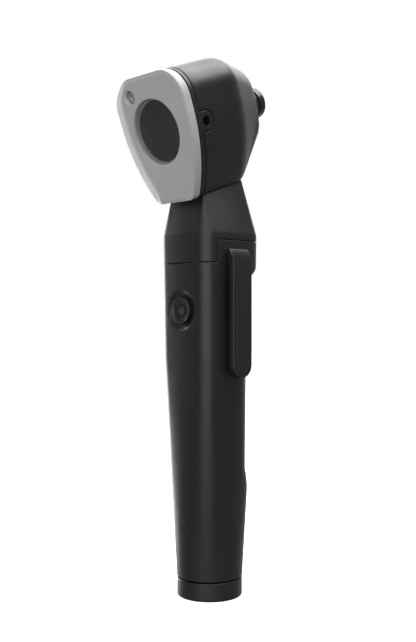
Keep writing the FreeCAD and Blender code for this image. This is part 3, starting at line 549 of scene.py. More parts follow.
def pocket_clip():
    """The clip's arm: a flat bar with a round tip, a sloping top and a jog above the foot."""
    half, tip, top = 4.25, 73.8, 116.1
    inner, outer = 13.9, 16.2
    jog_at, crest_at = 13.45, 14.4
    curve = [polar(half, angle, 0.0, tip + half) for angle in spread(180, 360, 20)]
    shape = Shape()

    def pair(x, z):
        return [(x, half, z), (x, -half, z)]

    front = shape.row([(outer, y, z) for y, z in curve] + pair(outer, 112.9))
    back = shape.row([(inner, y, z) for y, z in curve] + pair(inner, 110.3))
    crest, heel, jog = [shape.row(pair(x, z)) for x, z in ((crest_at, top), (jog_at, top), (jog_at, 111.7))]
    count = len(curve)
    right, left = front[count], front[count + 1]
    shape.faces += [tuple(front), tuple(back[::-1])]
    shape.strip(front[:count], back[:count], closed=False)
    shape.faces += [
        (right, front[count - 1], back[count - 1], back[count], jog[0], heel[0], crest[0]),
        (left, crest[1], heel[1], jog[1], back[count + 1], back[0], front[0]),
        (right, crest[0], crest[1], left),
        (crest[0], heel[0], heel[1], crest[1]),
        (heel[0], jog[0], jog[1], heel[1]),
        (jog[0], back[count], back[count + 1], jog[1]),
    ]
    piece("pocket_clip_arm", shape, "clip", "casing", ["pocket_clip"], bevel=0.32)
    foot = Shape()
    for low, high, half_wide, half_tall in ((11.3, 13.8, 3.0, 2.1), (10.75, 11.45, 4.2, 3.3)):
        rim = rounded_box(half_wide, half_tall, 0.5, 3)
        loops = foot.tube([[(x, y, CLIP_FOOT_AT + z) for y, z in rim] for x in (low, high)])
        foot.faces += [tuple(loops[0]), tuple(loops[1][::-1])]
    piece("pocket_clip_foot", foot, "clip", "casing", bevel=0.12)


def end_cap():
    """The screw cap, with a real thread on its spigot."""
    shape = Shape()
    root, crest, pitch = 8.55, 8.87, 1.0
    start, end, fade_over = 7.95, 12.1, 0.6
    outline = soften([
        (0, 0, 0), (11, 0, 0.8), (11, 6.1, 0.22), (8.5, 6.1, 0), (8.5, 6.75, 0.1), (7.8, 6.75, 0.1),
        (7.8, start, 0.1), (root, start, 0),
    ])
    outside = lathe(shape, outline, TURNED, upright)
    rows = []
    for level in spread(start, end, 34):
        row = []
        for k in range(TURNED):
            phase = (level / pitch - k / TURNED) % 1.0
            ridge = max(0.0, 1 - abs(phase - 0.5) / 0.36)
            fade = min(1.0, (level - start) / fade_over, (end - level) / fade_over)
            row.append((*polar(root + (crest - root) * ridge * fade, 360 * k / TURNED), level))
        rows.append(row)
    thread = shape.tube(rows)
    shape.strip(outside[-1], thread[0])
    outline = soften([(root, end, 0), (8.45, 12.4, 0.1), (7.4, 12.4, 0.1), (7.4, 2.2, 0.2), (0, 2.2, 0)])
    shape.strip(thread[-1], lathe(shape, outline, TURNED, upright)[0])
    piece("end_cap_cup", shape, "cap", "casing", ["end_cap"])


# ---- head's skin

# half width, height above and below the line of sight, radius of shoulders, toes and flanks, level of the
# widest place
FACE = dict(half=17.0, top=18.6, drop=23.4, shoulder=9.6, toe=2.8, bow=53.0, start=5.0)
RIM = dict(half=10.3, top=13.5, drop=13.0, shoulder=8.9, toe=9.6, bow=53.0, start=1.2)
BOW_STEPS = 20
FRAME_FRONT, FRAME_BACK, SHELL_START = 3.55, 5.0, 5.35
RIDGE_AT, RIDGE_BLEND, RIM_AT = 23.6, 2.4, 38.0
PORT_S, PORT_V, PORT_LOBE, PORT_BORE = 7.3, -0.3, 3.2, 1.6
PIVOT_X, PIVOT_V = -8.5, 12.6
FRAME_SCREWS = ((13.8, 9.0), (-13.8, 9.0), (8.3, -19.6), (-8.3, -19.6))


def shield(half, top, drop, shoulder, toe, bow, start):
    """The face's outline as (x, v, normal x, normal v), counter-clockwise from the foot of the +X flank."""
    heel = (half - bow) + math.sqrt((bow - toe) ** 2 - (toe - drop - start) ** 2)
    low = math.degrees(math.atan2(toe - drop - start, heel - (half - bow)))

    def arc(x, v, radius, angles):
        return [(*polar(radius, angle, x, v), *swing(angle)) for angle in angles]

    def mirrored(points):
        return [(-x, v, -nx, nv) for x, v, nx, nv in points[::-1]]

    points = arc(half - bow, start, bow, spread(low, 0, BOW_STEPS))
    points += arc(half - shoulder, top - shoulder, shoulder, spread(0, 90, 14))
    points += [(x, top, 0.0, 1.0) for x in spread(half - shoulder, 0, 4)[1:]]
    points += mirrored(points)[1:]
    toe_arc = arc(-heel, toe - drop, toe, spread(180 - low, 270, 6))
    points += toe_arc[1:]
    points += [(x, -drop, 0.0, -1.0) for x in spread(-heel, heel, 8)[1:-1]]
    return points + mirrored(toe_arc)[:-1]


FACE_OUTLINE = shield(**FACE)
RIM_OUTLINE = shield(**RIM)
COUNT = len(FACE_OUTLINE)
# the columns round the air port's lobe
LOBE_LOW, LOBE_HIGH = 12, BOW_STEPS


def inset_row(s, inset, outline=FACE_OUTLINE):
    return [head(x - inset * nx, s, v - inset * nv) for x, v, nx, nv in outline]


def taper(s):
    """How far the head's outline has drawn in at s, from the face's outline at 0 to the rim's at 1."""
    whole = RIM_AT - RIDGE_AT
    ahead = s - RIDGE_AT
    if ahead <= -RIDGE_BLEND:
        return 0.0
    if ahead < RIDGE_BLEND:
        return (ahead + RIDGE_BLEND) ** 2 / (4 * RIDGE_BLEND * whole)
    return ahead / whole


def barrel_row(s, inset=0.0):
    t = taper(s)
    outline = [tuple(lerp(a, b, t) for a, b in zip(p, q)) for p, q in zip(FACE_OUTLINE, RIM_OUTLINE)]
    return inset_row(s, inset, outline)


def facing(nx, nv):
    """A direction across the head's face, in the row's frame."""
    return head(nx, 0, nv) - head(0, 0, 0)


def flank(s, v):
    """A point of the +X flank and its normal."""
    centre = FACE["half"] - FACE["bow"]
    rise = min(v - FACE["start"], 0)
    x = centre + math.sqrt(FACE["bow"] ** 2 - rise**2)
    return head(x, s, v), facing(x - centre, rise).normalized()


def to_face(point):
    """(s, v) of a point of the head."""
    y, z = point.y - EYE.y, point.z - EYE.z
    return SIGHT.y * y + SIGHT.z * z, SIGHT.y * z - SIGHT.z * y


def to_window(point):
    """(x, v) of a point of the head."""
    return point.x, to_face(point)[1]


def lobe_path(edge, radius, bend):
    """The edge at the air port's lobe as (s, v) points, from above to below. It starts from the line s = edge."""
    arm = [polar(bend, angle, edge + bend, radius + bend) for angle in spread(180, 270, 5)]
    arm.append(((PORT_S + edge + bend) / 2, radius))
    arm += [polar(radius, angle, PORT_S) for angle in spread(90, 0, 9)]
    return [(s, PORT_V + v) for s, v in arm] + [(s, PORT_V - v) for s, v in arm[-2::-1]]


def on_edge(k, s):
    """The face outline's point k, at s, and its normal."""
    x, v, nx, nv = FACE_OUTLINE[k]
    return head(x, s, v), facing(nx, nv)


def notched_edge(shape, row, side, edge_at, inset_at, radius, bend, grow, holes=()):
    """Rounds over the edge of a casing that runs round the air port's lobe.

    row is the last whole row and side the rows of the columns at the window's two ends, from row to edge.
    """
    path = shape.row([flank(s, v)[0] for s, v in lobe_path(inset_at, radius + grow, bend - grow)])
    low_side, high_side = side
    rim = row[LOBE_LOW:LOBE_HIGH + 1] + high_side + path + low_side[::-1]
    shape.patch([rim] + list(holes), to_face, lambda s, v: flank(s, v)[0], SEAM_GRID)
    loop = [high_side[-1]] + path + [low_side[-1]]
    ends = [flank(s, v) for s, v in lobe_path(edge_at, radius, bend)]
    return loop, [on_edge(LOBE_HIGH, edge_at)] + ends + [on_edge(LOBE_LOW, edge_at)]


def close_round(loop, ends, row, edge_at):
    """Adds the rest of the outline to the loop round the lobe, going down the +X flank and round."""
    rest = list(range(LOBE_LOW - 1, -1, -1)) + list(range(COUNT - 1, LOBE_HIGH, -1))
    return (loop + [row[k] for k in rest], *zip(*ends, *(on_edge(k, edge_at) for k in rest)))


# ---- head


def head_housing():
    shape = Shape()
    inset_at = SHELL_START + EDGE
    places = [inset_at, 7.4, 9.6, 11.8, 14.0]
    lobe_rows = len(places) - 1
    places += [17.0, 20.0] + spread(RIDGE_AT - RIDGE_BLEND, RIDGE_AT + RIDGE_BLEND, 8) + [28.5, 31, 33.5, 36]
    edge = 0.9
    loops = [shape.row(barrel_row(s)) for s in places]
    rounding = [(edge * (1 - swing(a)[0]), RIM_AT - edge + edge * swing(a)[1]) for a in spread(0, 90, 5)]
    loops += [shape.row(barrel_row(s, inset)) for inset, s in rounding]
    closed = [loop + loop[:1] for loop in loops]
    shape.grid(closed, [(0, lobe_rows, LOBE_LOW, LOBE_HIGH)])
    sides = [[loop[k] for loop in loops[lobe_rows - 1::-1]] for k in (LOBE_LOW, LOBE_HIGH)]
    lobe, bend = PORT_LOBE + 0.35, 0.4
    loop, ends = notched_edge(shape, loops[lobe_rows], sides, SHELL_START, inset_at, lobe, bend, EDGE)
    lip(shape, *close_round(loop, ends, loops[0], SHELL_START), depth=1.8)
    seat = 5.25
    front = [to_window(shape.points[i]) for i in loops[-1]]
    rows = []
    for t, s in ((0.5, RIM_AT), (1.0, RIM_AT), (1.0, RIM_AT - 2)):
        row = []
        for x, v in front:
            away = Vector((x, v)).normalized() * seat
            row.append(head(lerp(x, away.x, t), s, lerp(v, away.y, t)))
        rows.append(row)
    shape.tube(rows, start=loops[-1])
    neck(shape)
    piece("head_housing_skin", shape, "head", "casing", ["head_housing"])


def neck_top(u):
    """A point of the neck's upper end, which is hidden in the barrel."""
    half, start, end, corner, v = 8.42, 5.5, 24.2, 0.9, -22.8
    quarter = math.floor(u) % 4
    part = u - math.floor(u)
    ends = ((half, start), (half, end), (-half, end), (-half, start), (half, start))
    (x0, s0), (x1, s1) = ends[quarter:quarter + 2]
    if part <= FACE_SHARE:
        reach = abs(x1 - x0) + abs(s1 - s0)
        t = lerp(corner, reach - corner, part / FACE_SHARE) / reach
        return head(lerp(x0, x1, t), lerp(s0, s1, t), v)
    angle = 90 * quarter + 90 * (part - FACE_SHARE) / (1 - FACE_SHARE)
    x = (half - corner) * (-1 if quarter in (1, 2) else 1)
    s = end - corner if quarter in (0, 1) else start + corner
    return head(*polar(corner, angle, x, s), v)


def neck(shape):
    """The collar, with its long apron on the button side, and the neck above it."""
    base_level = COLLAR_TOP - 0.25
    base = shape.row(skin(u, base_level) for u in AROUND)
    rows = []
    for t in [0.015] + spread(0.08, 1.0, 9):
        rows.append([lerp(skin(u, COLLAR_TOP), neck_top(u), t) for u in AROUND])
    shape.tube(rows, start=base)
    inside_edge, _ = stepped_edge(shape, base, base_level, SEAM_GAP + EDGE, SEAM_GAP)
    bore, sleeve_room, top = 10.6, 9.55, 120.1
    rim = to_bore(shape, inside_edge, bore, top)
    narrow = sleeve_room / bore
    ledge = [Vector((narrow * shape.points[i].x, narrow * shape.points[i].y, top)) for i in rim]
    shape.tube([ledge, [point + Vector((0, 0, 3)) for point in ledge]], start=rim)


def rear_frame():
    """The dark plate behind the lens carrier, with the air port's lobe."""
    shape = Shape()
    front_at, back_at = FRAME_FRONT + EDGE, FRAME_BACK - EDGE
    loops = [shape.row(inset_row(s, 0)) for s in (front_at, back_at)]
    closed = [loop + loop[:1] for loop in loops]
    shape.grid(closed, [(0, 1, LOBE_LOW, LOBE_HIGH)])

    def around_port(radius):
        return zip(*[flank(*polar(radius, angle, PORT_S, PORT_V)) for angle in spread(0, 360, 32)[:-1]])

    port = shape.row(list(around_port(PORT_BORE + 0.2))[0])
    lip(shape, port, *around_port(PORT_BORE), depth=4.5)
    sides = ([loops[1][LOBE_LOW]], [loops[1][LOBE_HIGH]])
    loop, ends = notched_edge(shape, loops[0], sides, FRAME_BACK, back_at, PORT_LOBE, 0.55, -EDGE, holes=[port])
    lip(shape, *close_round(loop, ends, loops[1], FRAME_BACK), depth=2.2)
    rim = lip(shape, loops[0], *zip(*[on_edge(k, FRAME_FRONT) for k in range(COUNT)]))
    front = 3.5
    rooms = []
    for x, v in FRAME_SCREWS:
        rooms.append(lathe(shape, [(1.55, front), (1.55, 4.45), (0.8, 4.45)], 28, on_sight(x, v))[0])
    rooms.append(lathe(shape, [(2.74, front), (2.74, 3.82), (1.3, 3.82)], 40, on_sight(PIVOT_X, PIVOT_V))[0])
    groove = [(12.4, front), (12.4, 4.3), (11.2, 4.3), (11.2, front), (10.4, front), (10.3, 3.6), (10.3, 5.1)]
    rooms.append(lathe(shape, groove, TURNED, on_sight())[0])
    shape.patch([rim, rooms[-1]] + rooms[:-1], to_window)
    piece("rear_frame_plate", shape, "head", "casing", ["rear_frame"])


def cross(arm, half):
    """The outline of a cross recess with round arm ends."""
    points = []
    for turn in (0, 90, 180, 270):
        end = polar(arm - half, turn)
        points += [polar(half, turn + angle, *end) for angle in spread(-90, 90, 4)]
        points.append(polar(1.25 * math.sqrt(2) * half, turn + 45))
    return points


def screw(shape, x, v, start, head_radius, head_tall, steps_down):
    """A screw along the line of sight with a cross recess. steps_down are its (radius, depth) steps."""
    place = on_sight(x, v)
    outline = [(head_radius * 0.86, start, 0), (head_radius, start, head_radius * 0.1)]
    outline += [(radius, depth, 0) for radius, depth in [(head_radius, start + head_tall)] + steps_down]
    loops = lathe(shape, soften(outline), 40, place)
    recess = cross(head_radius * 0.62, head_radius * 0.15)
    deep = start + head_tall * 0.55
    rows = [[place(a, b, depth) for a, b in recess] for depth in (start, start + 0.12, deep)]
    walls = shape.tube(rows)
    shape.fan(walls[-1], place(0, 0, deep + 0.15))
    shape.patch([loops[0], walls[0]], to_window)


def screws():
    pivot = Shape()
    screw(pivot, PIVOT_X, PIVOT_V, 0.9, 1.9, 1.0, [(1.75, 1.9), (1.75, 3.5), (1.25, 3.5), (1.25, 8.0), (0, 8.1)])
    piece("pivot_screw_turned", pivot, "head", "screw_steel", ["pivot_screw"])
    group = Shape()
    for x, v in FRAME_SCREWS:
        screw(group, x, v, 3.6, 1.5, 0.8, [(0.8, 4.45), (0.8, 11.4), (0, 11.5)])
    piece("frame_screws_turned", group, "head", "screw_steel", ["frame_screws"])


# direction of the edge in degrees, how wide the front's soft bevel is there, how deep, and how far the edge
# stands out
BEVEL = (
    (-180, 5.5, 0.95, 0.8), (-150, 5.4, 0.95, 0.8), (-125, 4.4, 0.8, 0.3), (-95, 1.4, 0.35, 0.1),
    (-70, 0.45, 0.12, 0.0), (0, 0.4, 0.12, 0.0), (50, 0.6, 0.2, 0.0), (90, 1.6, 0.5, 0.0), (135, 2.85, 0.7, -0.35),
    (180, 5.5, 0.95, 0.8),
)


def bevel(nx, nv):
    """Width, depth and overhang of the carrier's bevel where its edge faces the direction (nx, nv)."""
    low, high, t = between(BEVEL, math.degrees(math.atan2(nv, nx)))
    return [lerp(a, b, t * t * (3 - 2 * t)) for a, b in zip(low[1:], high[1:])]


def slope(t):
    """Fall of the bevel from 1 at its edge to 0 where it meets the face: straight, then softly levelling."""
    return 1 - t / 0.8 if t < 0.6 else 0.25 * ((1 - t) / 0.4) ** 2


def lens_carrier():
    """The swivelling plate, with a broad soft bevel that fades out towards the air port's side."""
    shape = Shape()
    back = 3.15
    edge = 0.25
    widths, falls, overhangs = zip(*(bevel(nx, nv) for _, _, nx, nv in FACE_OUTLINE))

    def row(insets, places):
        return [
            head(x - (inset - out) * nx, place, v - (inset - out) * nv)
            for (x, v, nx, nv), out, inset, place in zip(FACE_OUTLINE, overhangs, insets, places)
        ]

    rows = []
    for angle in spread(0, 90, 3):
        c, s = swing(angle)
        rows.append(row([edge * (1 - s)] * COUNT, [back - edge + edge * c] * COUNT))
    for angle in spread(0, 90, 5):
        c, s = swing(angle)
        rows.append(row([edge * (1 - c)] * COUNT, [fall + edge * (1 - s) for fall in falls]))
    for t in spread(0, 1, 10)[1:]:
        insets = [lerp(edge, width + edge, t) for width in widths]
        rows.append(row(insets, [fall * slope(t) for fall in falls]))
    loops = shape.tube(rows)
    window = soften([(11.25, 0, 0), (10.8, 0, 0.3), (10.8, 1.3, 0.05), (11.6, 1.3, 0), (11.6, back, 0)], 5)
    bore = lathe(shape, window, TURNED, on_sight())
    sink = soften([(2.75, 0, 0), (2.6, 0, 0.1), (2.15, 0.45, 0.1), (2.15, 1.98, 0.05), (1.82, 1.98, 0)])
    counterbore = lathe(shape, sink, 40, on_sight(PIVOT_X, PIVOT_V))
    bush = lathe(shape, [(2.6, back), (2.6, 2.02), (1.82, 2.02)], 40, on_sight(PIVOT_X, PIVOT_V))
    shape.strip(counterbore[-1], bush[-1])
    shape.patch([loops[-1], bore[0], counterbore[0]], to_window)
    shape.patch([loops[0], bore[-1], bush[0]], to_window)
    piece("lens_carrier_plate", shape, "lens", "carrier", ["lens_carrier"])


def turned(name, outline, steps, body, slot, node, **looks):
    """Makes a piece that is turned about the line of sight."""
    shape = Shape()
    lathe(shape, outline, steps, on_sight())
    piece(name, shape, body, slot, [node], **looks)


def magnifier_lens():
    """A plano-convex lens with ground edges."""
    dome, radius, edge_at, flat_at = 60.0, 11.5, 1.36, 2.35
    top = edge_at - (dome - math.sqrt(dome**2 - radius**2))
    outline = [(0, top)]
    for r in spread(0, radius - 0.15, 22)[1:]:
        outline.append((r, top + dome - math.sqrt(dome**2 - r**2)))
    outline += [(radius, edge_at + 0.1), (radius, flat_at - 0.15), (radius - 0.15, flat_at)]
    outline += [(r, flat_at) for r in spread(radius - 2.0, 0, 6)]
    turned("magnifier_lens_glass", outline, TURNED, "lens", "lens", "magnifier_lens", sharp=60)


def lens_ring():
    """The pale ring that holds the lens from behind."""
    outline = soften([(11.55, 2.38, 0), (11.55, 3.25, 0.1), (10.0, 3.25, 0.1), (10.0, 2.38, 0.1), (11.55, 2.38, 0)])
    turned("lens_ring_turned", outline, TURNED, "lens", "carrier", "lens_ring")


def speculum_seat():
    """The seat's flange and neck, and the groove and end ring that an ear tip locks onto."""
    outline = soften([
        (4.05, 33.0, 0), (5.15, 33.0, 0.1), (5.15, 34.4, 0), (7.0, 34.4, 0.1), (7.0, 36.1, 0.1), (5.15, 36.1, 0),
        (5.15, 38.02, 0), (6.6, 38.02, 0), (5.8, 39.4, 0.8), (5.55, 43.7, 0.2), (4.6, 43.8, 0.2),
        (4.6, 44.95, 0.2), (5.3, 45.0, 0.15), (5.3, 47.6, 0.3), (4.3, 47.6, 0.15), (4.05, 47.3, 0), (4.05, 33.0, 0),
    ])
    turned("speculum_seat_turned", outline, 80, "head", "seat", "speculum_seat")


# ---- materials


class Nodes:
    """Builds one material's node tree."""

    def __init__(self, name):
        self.material = bpy.data.materials.new(name)
        self.material.use_nodes = True
        self.tree = self.material.node_tree
        self.shader = self.tree.nodes["Principled BSDF"]
        self.place = self.add("ShaderNodeTexCoord").outputs["Object"]

    def add(self, kind, **settings):
        node = self.tree.nodes.new(kind)
        for key, value in settings.items():
            setattr(node, key, value)
        return node

    def link(self, a, b):
        self.tree.links.new(a, b)

    def noise(self, size_mm, detail=2.0, stretch=(1, 1, 1)):
        """Noise with features of about size_mm, longer where stretch is above 1."""
        mapping = self.add("ShaderNodeMapping")
        mapping.inputs["Scale"].default_value = [1 / (size_mm * MM * s) for s in stretch]
        self.link(self.place, mapping.inputs["Vector"])
        texture = self.add("ShaderNodeTexNoise")
        texture.inputs["Scale"].default_value = 1.0
        texture.inputs["Detail"].default_value = detail
        self.link(mapping.outputs["Vector"], texture.inputs["Vector"])
        return texture.outputs["Fac"]

    def span(self, value, low, high, start=0.3, end=0.7):
        """value between start and end, spread from low to high."""
        node = self.add("ShaderNodeMapRange")
        for name, number in (("From Min", start), ("From Max", end), ("To Min", low), ("To Max", high)):
            node.inputs[name].default_value = number
        self.link(value, node.inputs["Value"])
        return node.outputs["Result"]

    def mix(self, factor, a, b):
        node = self.add("ShaderNodeMix", data_type="RGBA")
        for source, socket in ((factor, node.inputs[0]), (a, node.inputs[6]), (b, node.inputs[7])):
            if isinstance(source, (tuple, float)):
                socket.default_value = source
            else:
                self.link(source, socket)
        return node.outputs[2]

    def clouds(self, size_mm, a, b, detail=2.0):
        """Soft patches of a and b."""
        return self.mix(self.span(self.noise(size_mm, detail), 0, 1), a, b)

    def bump(self, height, depth_mm, after=None):
        node = self.add("ShaderNodeBump")
        node.inputs["Distance"].default_value = depth_mm * MM
        self.link(height, node.inputs["Height"])
        if after:
            self.link(after, node.inputs["Normal"])
        return node.outputs["Normal"]

    def edge_wear_and_highlight(self, share, base, color):
        """base, with up to a share of color on outer edges: wear on most materials, and on the button partly a
        painted highlight along its rim.
        """
        sharp = self.span(self.add("ShaderNodeNewGeometry").outputs["Pointiness"], 0, 1, 0.53, 0.6)
        return self.mix(self.span(sharp, 0, share, 0, 1), base, color)

    def finish(self, color, roughness, normal=None, **sockets):
        self.link(color, self.shader.inputs["Base Color"])
        self.link(roughness, self.shader.inputs["Roughness"])
        if normal:
            self.link(normal, self.shader.inputs["Normal"])
        for name, value in sockets.items():
            self.shader.inputs[name.replace("_", " ")].default_value = value
        return self.material


def grey(value, tint=1.0):
    return (value, value, value * tint, 1.0)


def moulded(name, dark, light, edge_wear_and_highlight, rough, grain_mm=0.22, grain_deep=0.012):
    """Moulded plastic: spark-eroded grain, faint clouding, handling marks and polished edges; on the button the
    lighter edges are partly a painted highlight along its rim.
    """
    nodes = Nodes(name)
    color = nodes.edge_wear_and_highlight(0.5, nodes.clouds(14.0, dark, light), edge_wear_and_highlight)
    smudge = nodes.span(nodes.noise(9.0, 4.0, (1, 1, 2.5)), rough - 0.05, rough + 0.06)
    grain = nodes.bump(nodes.noise(grain_mm, 3.0), grain_deep)
    scratch = nodes.bump(nodes.noise(0.35, 1.0, (1, 6, 14)), 0.003, grain)
    return nodes.finish(color, smudge, scratch, Specular_IOR_Level=0.5)


def turned_metal(name, color, rough, ring_mm=0.25):
    """Turned or drawn metal: fine rings, cloudy tarnish and bright edges."""
    nodes = Nodes(name)
    dull, bright = [tuple(min(c * share, 1) for c in color[:3]) + (1.0,) for share in (0.82, 1.2)]
    base = nodes.edge_wear_and_highlight(0.6, nodes.clouds(2.5, dull, color, 3.0), bright)
    rings = nodes.noise(ring_mm, 2.0, (9, 9, 1))
    roughness = nodes.span(nodes.noise(1.2, 4.0), rough - 0.06, rough + 0.08)
    return nodes.finish(base, roughness, nodes.bump(rings, 0.006), Metallic=1.0)


def rubber(name):
    nodes = Nodes(name)
    color = nodes.clouds(1.5, grey(0.012), grey(0.026), 3.0)
    rough = nodes.span(nodes.noise(0.8, 3.0), 0.55, 0.75)
    return nodes.finish(color, rough, nodes.bump(nodes.noise(0.08), 0.004))


def clear_glass(name):
    """Polished glass with a few faint wipe marks."""
    nodes = Nodes(name)
    color = nodes.clouds(7.0, (0.97, 0.99, 0.98, 1), (1, 1, 1, 1))
    marks = nodes.span(nodes.noise(3.0, 5.0, (3, 1, 1)), 0.015, 0.045)
    waves = nodes.bump(nodes.noise(4.0, 1.0), 0.0004)
    return nodes.finish(color, marks, waves, Transmission_Weight=1.0, IOR=1.49, Specular_IOR_Level=0.3)


def fibres(name):
    """Ends of glass fibres: small round cells, each with its own brightness."""
    nodes = Nodes(name)
    cells = nodes.add("ShaderNodeTexVoronoi")
    cells.inputs["Scale"].default_value = 1 / (0.09 * MM)
    nodes.link(nodes.place, cells.inputs["Vector"])
    color = nodes.mix(nodes.span(cells.outputs["Distance"], 0, 1, 0.2, 0.6), (0.72, 0.76, 0.72, 1), grey(0.16))
    rough = nodes.span(nodes.noise(0.3, 2.0), 0.2, 0.4)
    return nodes.finish(color, rough, nodes.bump(cells.outputs["Distance"], -0.01), Coat_Weight=0.6)


def circuit(name):
    """Green solder mask over copper tracks."""
    nodes = Nodes(name)
    tracks = nodes.add("ShaderNodeTexBrick")
    tracks.inputs["Scale"].default_value = 1 / (4.0 * MM)
    tracks.inputs["Mortar Size"].default_value = 0.05
    tracks.inputs["Color1"].default_value = (0.012, 0.11, 0.045, 1)
    tracks.inputs["Color2"].default_value = (0.012, 0.1, 0.04, 1)
    tracks.inputs["Mortar"].default_value = (0.04, 0.26, 0.1, 1)
    nodes.link(nodes.place, tracks.inputs["Vector"])
    color = nodes.mix(nodes.span(nodes.noise(3.0), 0, 0.25), tracks.outputs["Color"], grey(0.02))
    return nodes.finish(color, nodes.span(nodes.noise(0.8), 0.28, 0.42), nodes.bump(tracks.outputs["Fac"], 0.02))


def lamp_phosphor(name):
    nodes = Nodes(name)
    color = nodes.clouds(0.12, (0.75, 0.55, 0.12, 1), (0.9, 0.8, 0.4, 1), 3.0)
    rough = nodes.span(nodes.noise(0.3), 0.15, 0.3)
    return nodes.finish(color, rough, nodes.bump(nodes.noise(0.1), 0.003), Coat_Weight=0.8)


def cell_wrap(name):
    """A shrunk label: graphite, with a pale band that repeats along the cell."""
    nodes = Nodes(name)
    height = nodes.add("ShaderNodeSeparateXYZ")
    nodes.link(nodes.place, height.inputs["Vector"])
    turns = nodes.add("ShaderNodeMath", operation="PINGPONG")
    half_cell, band_at, band_end = 25.3 * MM, 18.0 * MM, 18.3 * MM
    turns.inputs[1].default_value = half_cell
    nodes.link(height.outputs["Z"], turns.inputs[0])
    band = nodes.span(turns.outputs["Value"], 0, 1, band_at, band_end)
    color = nodes.mix(band, (0.03, 0.035, 0.045, 1), (0.35, 0.35, 0.37, 1))
    color = nodes.mix(nodes.span(nodes.noise(5.0, 3.0), 0, 0.3), color, grey(0.05))
    wrap = nodes.bump(nodes.noise(1.5, 2.0, (1, 1, 4)), 0.01)
    return nodes.finish(color, nodes.span(nodes.noise(2.0), 0.25, 0.38), wrap, Coat_Weight=0.3)


MATERIALS = {
    "casing": moulded("casing", grey(0.009, 1.03), grey(0.012, 1.03), grey(0.03), 0.38),
    # the button's lighter edge colour, grey(0.05), is partly a painted highlight along its rim
    "button": moulded("button", grey(0.006), grey(0.009), grey(0.05), 0.4),
    "carrier": moulded("carrier", grey(0.43), grey(0.47), grey(0.6), 0.42, 0.16, 0.006),
    "seat": moulded("seat", grey(0.012), grey(0.018), grey(0.04), 0.3),
    "dark_plastic": moulded("dark_plastic", grey(0.004), grey(0.006), grey(0.012), 0.75),
    "lens": clear_glass("lens"),
    "screw_steel": turned_metal("screw_steel", (0.66, 0.66, 0.66, 1), 0.26, 0.1),
    "steel": turned_metal("steel", (0.6, 0.6, 0.61, 1), 0.3),
    "brass": turned_metal("brass", (0.72, 0.56, 0.25, 1), 0.3),
    "aluminium": turned_metal("aluminium", (0.72, 0.72, 0.73, 1), 0.36),
    "spring": turned_metal("spring", (0.6, 0.6, 0.57, 1), 0.28, 0.1),
    "seal_rubber": rubber("seal_rubber"),
    "fibre": fibres("fibre"),
    "board": circuit("board"),
    "led": lamp_phosphor("led"),
    "cell": cell_wrap("cell"),
}


def dress_cad_nodes():
    """Gives each CAD node the material of its slot."""
    for row in frame["record"]["subparts"]:
        node = frame["nodes"][row["node"]]
        node.data.materials.clear()
        node.data.materials.append(MATERIALS[row["material_slot"]])


# ---- studio


def camera():
    """Level, 48 degrees round from the user's side towards the clip."""
    azimuth, away, height, aside = 48.0, 329.0, 92.5, -0.54
    c, s = swing(azimuth)
    place = Vector((away * s + aside * c, -away * c + aside * s, height)) * MM
    data = bpy.data.cameras.new("camera")
    data.sensor_width = 36.0
    data.lens = 54.39
    data.clip_start = 0.01
    made = show("camera", data)
    made.location = place
    made.rotation_euler = (math.radians(90), 0, math.radians(azimuth))
    bpy.context.scene.camera = made


def softbox(name, azimuth, height, away, wide, tall, power):
    """An area light round the object that faces its axis at mid height."""
    data = bpy.data.lights.new(name, "AREA")
    data.shape = "RECTANGLE"
    data.size = wide
    data.size_y = tall
    data.energy = power
    made = show(name, data)
    c, s = swing(azimuth)
    made.location = (away * s, -away * c, height)
    aim = Vector((0, 0, 0.1)) - made.location
    made.rotation_euler = aim.to_track_quat("-Z", "Y").to_euler()


# the camera's direction, and how bright the backdrop gets as a ray turns towards it
BACKDROP_WAY = (-0.743, 0.669, 0.0)
BACKDROP_FROM, BACKDROP_TO = (0.25, 0.95), (0.24, 0.63)


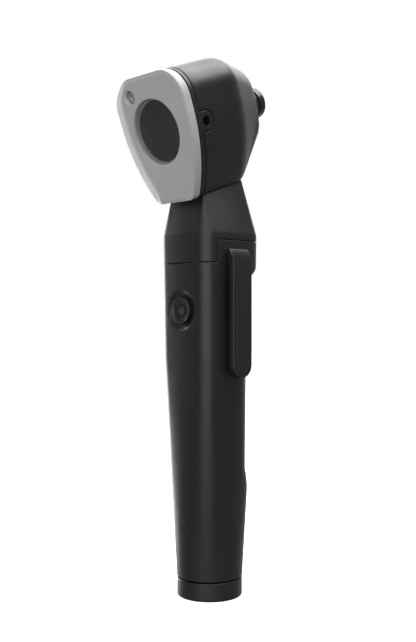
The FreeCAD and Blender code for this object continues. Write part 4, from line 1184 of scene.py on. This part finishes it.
def backdrop():
    """A white world for the camera that is dimmer, and brightest far behind the object, for all other rays."""
    world = bpy.data.worlds.new("studio")
    world.use_nodes = True
    nodes = world.node_tree.nodes
    links = world.node_tree.links
    background = nodes["Background"]
    background.inputs["Color"].default_value = (1, 1, 1, 1)
    place = nodes.new("ShaderNodeTexCoord")
    toward = nodes.new("ShaderNodeVectorMath")
    toward.operation = "DOT_PRODUCT"
    toward.inputs[1].default_value = BACKDROP_WAY
    links.new(place.outputs["Generated"], toward.inputs[0])
    steps = nodes.new("ShaderNodeMapRange")
    steps.interpolation_type = "SMOOTHSTEP"
    for name, number in zip(("From Min", "From Max", "To Min", "To Max"), BACKDROP_FROM + BACKDROP_TO):
        steps.inputs[name].default_value = number
    links.new(toward.outputs["Value"], steps.inputs["Value"])
    rays = nodes.new("ShaderNodeLightPath")
    strength = nodes.new("ShaderNodeMix")
    strength.inputs[3].default_value = 1.0
    links.new(rays.outputs["Is Camera Ray"], strength.inputs[0])
    links.new(steps.outputs["Result"], strength.inputs[2])
    links.new(strength.outputs[0], background.inputs["Strength"])
    bpy.context.scene.world = world
    bpy.context.scene.view_settings.view_transform = "Standard"


def white_floor():
    """A round floor that only the camera sees."""
    floor = Shape()
    rings = [[(*polar(radius, angle), 0) for angle in spread(0, 360, 64)[:-1]] for radius in (60, 400, 2500)]
    loops = floor.tube(rings)
    floor.fan(loops[0], (0, 0, 0))
    mesh = floor.mesh("floor")
    nodes = Nodes("floor")
    color = nodes.clouds(60.0, grey(0.86), grey(0.9))
    nodes.link(color, nodes.shader.inputs["Emission Color"])
    rough = nodes.span(nodes.noise(30.0), 0.6, 0.7)
    mesh.materials.append(nodes.finish(color, rough, Emission_Strength=1.1))
    made = show("floor", mesh)
    made.visible_glossy = False
    made.visible_diffuse = False
    made.visible_transmission = False
    made.visible_shadow = False


# name, azimuth in degrees, height and distance in metres, size in metres, power in watts
SOFTBOXES = (
    ("overhead", 128, 0.75, 0.23, 0.6, 0.6, 6.4), ("back_left", -131, 0.62, 0.5, 0.9, 0.9, 5.4),
    ("left", -94, 0.13, 0.6, 0.3, 0.5, 3.0), ("front", 35, 0.32, 0.75, 0.95, 1.0, 4.8),
)


# ---- build

camera()
dress_cad_nodes()
handle_shell()
power_button()
pocket_clip()
end_cap()
head_housing()
rear_frame()
screws()
lens_carrier()
magnifier_lens()
lens_ring()
speculum_seat()
backdrop()
white_floor()
for row in SOFTBOXES:
    softbox(*row)
